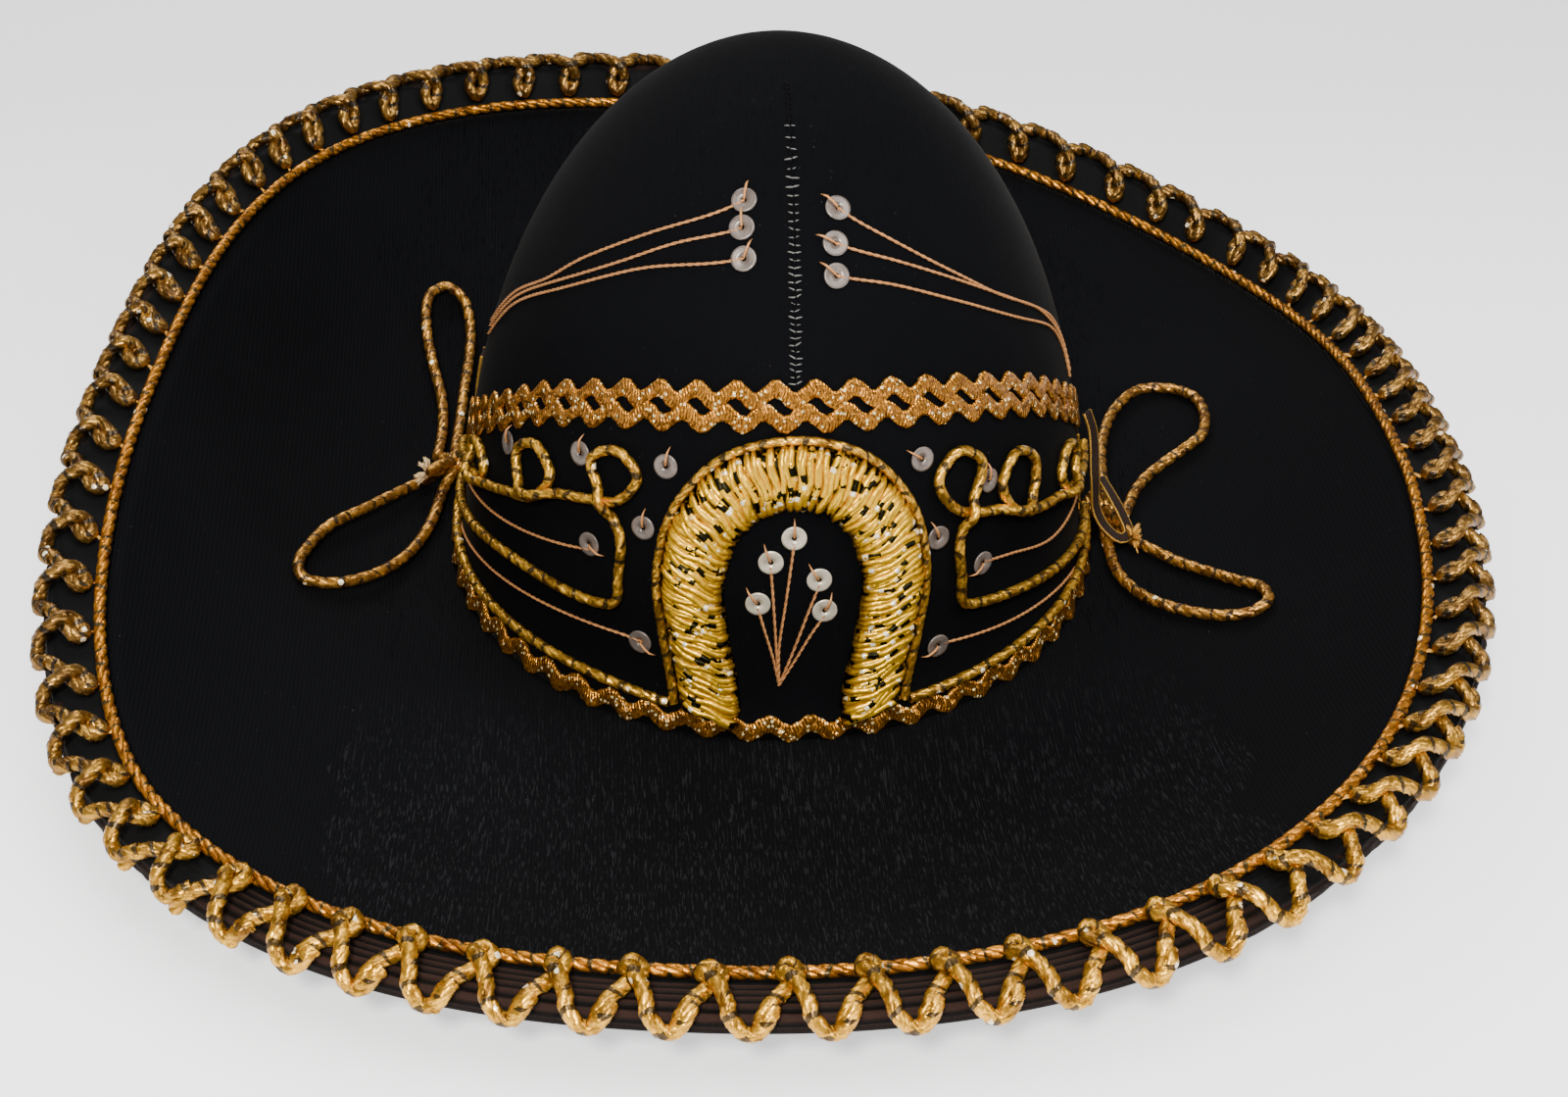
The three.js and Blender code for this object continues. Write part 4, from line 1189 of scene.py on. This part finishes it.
def makeSeam():
    heights = np.linspace(seam["low"], seam["high"], seam["stitches"])
    angles = np.zeros(len(heights))
    normal = crownNormal(angles, heights)
    upward = crownUpward(angles, heights)
    across = np.cross(upward, normal)
    line = [(c * seam["width"] / 2, abs(c) * 0.6, 0.5 - 0.45 * c * c) for c in np.linspace(-1, 1, 7)]
    rings, faces, _ = tubeShape(line, [0.16, 0.28, 0.3, 0.3, 0.3, 0.28, 0.16], 5)
    shape = meshObject("seamShape", rings, faces, seamThread)
    piece = scattered("crownSeam", offCrown(angles, heights, seam["lift"]), normal, across, shape, seamThread,
                      0.3, 0.6, 21)
    bpy.data.objects.remove(shape)
    finishPiece(piece, [])
    heights = np.linspace(seam["low"] - 4, crown["height"] - 0.6, 160)
    path = offCrown(np.zeros(160), heights, seam["ridgeLift"])
    ridge = twistedCord("crownSeamRidge", path, crownVelvetFinish,
                        {"diameter": 1.5, "strands": 2, "share": 0.7, "sides": 6, "lay": 5.0, "step": 1.0})
    finishPiece(ridge, [])


makeThreads()
makeSeam()
print("threads and seam sewn")

# Side ribbons and the knots that gather the cords
ribbon = {"width": 5, "bowWidth": 3.6, "thickness": 1, "seat": 0.3}
ribbonRoutes = {"left": [(-108, 13), (-105, 27), (-101.5, 45), (-100, 59)],
                "right": [(90, 13), (90, 27), (89, 39)]}
knot = {"diameter": 11, "cord": 3.0, "turns": 4.5, "tail": 4.0, "fray": 16}
knotAngles = {"left": -109, "right": 92}
frayPlace = {"left": np.array([-117.5, 33, 12.5]), "right": np.array([121.5, -9.5, 8])}
frayFinish = {"left": paleThread, "right": frayedGold}


def ribbonStrip(name, path, across, normal, width, replaced):
    crossing = np.linspace(-1, 1, 9)
    curl = [ribbon["thickness"] * (0.75 + 0.25 * c * c) for c in crossing]
    section = [(c, lift) for c, lift in zip(crossing, curl)] + [(c, 0.0) for c in crossing[::-1]]
    half = width / 2
    vertices = np.stack([path + across * c * half + normal * y for c, y in section], axis=1).reshape(-1, 3)
    count = len(section)
    faces = tubeFaces(len(path), count, True)
    lengths = lengthsAlong(path)
    attributes = {"along": np.repeat(lengths * mm, count),
                  "across": np.tile([c for c, _ in section], len(path))}
    return finishPiece(meshObject(name, vertices, faces, ribbonCloth, attributes), replaced)


def makeRibbons():
    for side, points in ribbonRoutes.items():
        angles, heights, path = crownLine(points, 60, ribbon["seat"])
        normal = crownNormal(angles, heights)
        across = unit(np.cross(unit(np.gradient(path, axis=0)), normal))
        ribbonStrip("ribbon" + side.title(), path, across, normal, ribbon["width"], ["ribbon_" + side])


# Folded ribbon that hangs from the right knot, in millimetres
ribbonBow = [(104.8, 6, 48.8), (107, 5, 42.4), (108, 3, 35), (108, -2, 27.5), (109, -2.5, 16),
             (112, -6, 10.5), (116.7, -10.7, 8.5), (120, -8, 8.6), (118.6, -1.8, 12), (115.8, 4.7, 15.5),
             (113.1, 14.3, 17)]


def makeRibbonBow():
    path = smoothLine(ribbonBow, 60)
    facing = unit(np.array([0.35, -0.5, 0.8]))
    across = unit(np.cross(unit(np.gradient(path, axis=0)), facing))
    normal = np.cross(across, unit(np.gradient(path, axis=0)))
    ribbonStrip("ribbonBow", path, across, normal, ribbon["bowWidth"], [])


def makeKnots():
    for side, angle in knotAngles.items():
        low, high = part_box("knot_" + side)
        centre = np.array([(a + b) / 2 for a, b in zip(low, high)]) / mm
        t = np.linspace(0, 1, 200)
        turn = 2 * math.pi * knot["turns"] * t
        middle = (knot["diameter"] - knot["cord"]) / 2
        around = middle * np.sin(math.pi * (0.12 + 0.76 * t))
        local = np.stack([around * np.cos(turn), middle * np.cos(math.pi * (0.12 + 0.76 * t)),
                          around * np.sin(turn)], axis=-1)
        lean = math.radians(angle)
        path = centre + local @ np.array([[math.cos(lean), math.sin(lean), 0],
                                          [-math.sin(lean), math.cos(lean), 0], [0, 0, 1]])
        style = {"diameter": knot["cord"], "strands": 3, "share": 0.77, "sides": 7, "lay": 11.0, "step": 0.6}
        piece = twistedCord("knot" + side.title(), path, bowGold, style)
        finishPiece(piece, ["knot_" + side])
        tails = [smoothLine([frayPlace[side], (frayPlace[side] + centre) / 2 + (0, 0, 1.5), centre], 30)]
        for node, route in bowLoops.items():
            if side in node:
                for first, second in ((0, 1), (-1, -2)):
                    end, inner = np.array(route[first]) / mm, np.array(route[second]) / mm
                    start = end + unit(inner - end) * 0.6
                    bend = end * 0.45 + centre * 0.55 + (0, 0, 1.0)
                    tails.append(smoothLine([start, end, bend, centre], 30))
        piece = twistedCord("knotTails" + side.title(), tails, bowGold, dict(bowCord, diameter=knot["tail"]))
        finishPiece(piece, [])
        turns = np.arange(knot["fray"]) * 2.4
        outward = np.array([math.sin(lean), -math.cos(lean), 0])
        around = np.array([math.cos(lean), math.sin(lean), 0])
        lying = np.sin(turns)[:, None] * np.array([0, 0, 1.0]) + np.cos(turns)[:, None] * around
        spots = frayPlace[side] + lying * 1.6
        lying = unit(lying + outward * rng.uniform(0.2, 1.2, (len(turns), 1)) + (0, 0, 0.3))
        shape = tipShape()
        fray = scattered("knotFray" + side.title(), spots, unit(np.cross(lying, around)), lying, shape,
                         frayFinish[side], 0.5, 0.8, 31)
        bpy.data.objects.remove(shape)
        finishPiece(fray, [])


makeRibbons()
makeRibbonBow()
makeKnots()
print("ribbons and knots tied")

# Floor, with a painted glow towards the front, and light
studio = {"floor": 12.0, "world": 0.34}
lights = [  # name, place in metres, size, power, colour
    ("key", (-0.25, -1.35, 1.25), 0.2, 40, (1.0, 0.97, 0.92)),
    ("top", (0.3, -0.8, 2.0), 1.4, 44, (1.0, 1.0, 1.0)),
    ("fill", (1.5, -0.6, 1.2), 0.6, 12, (0.97, 0.98, 1.0)),
    ("back", (-0.5, 1.5, 1.7), 1.4, 32, (1.0, 1.0, 1.0)),
]


def floorPaint(tree):
    grain = tree.noise(tree.place(), 3.0, 3.0)
    # The floor glows more towards the front: painted light beside the lamps
    paintedLightFront = tree.axis(tree.place(), "Y") * -1.1 + 0.45
    return {"Base Color": tree.blend(grain, (0.90, 0.90, 0.91), (0.95, 0.95, 0.96)),
            "Roughness": 0.7 + grain * 0.1, "Emission Color": tree.blend(paintedLightFront, (0.0, 0.0, 0.0), (1.4, 1.4, 1.4))}


def makeStudio():
    half = studio["floor"] / 2 / mm
    corners = [(-half, -half, -0.2), (half, -half, -0.2), (half, half, -0.2), (-half, half, -0.2)]
    floor = meshObject("floor", corners, [(0, 1, 2, 3)],
                       newMaterial("floorPaper", {"Specular IOR Level": 0.2, "Emission Strength": 1.0},
                                   floorPaint))
    world = bpy.data.worlds.new("studio")
    bpy.context.scene.world = world
    world.use_nodes = True
    world.node_tree.nodes["Background"].inputs["Color"].default_value = (1, 1, 1, 1)
    world.node_tree.nodes["Background"].inputs["Strength"].default_value = studio["world"]
    for name, place, size, power, colour in lights:
        lamp = bpy.data.lights.new(name, "AREA")
        lamp.size = size
        lamp.energy = power
        lamp.color = colour
        holder = bpy.data.objects.new(name, lamp)
        holder.location = place
        holder.rotation_euler = (Vector((0, 0, 0.05)) - Vector(place)).to_track_quat("-Z", "Y").to_euler()
        bpy.context.scene.collection.objects.link(holder)


makeStudio()
print("studio lit")
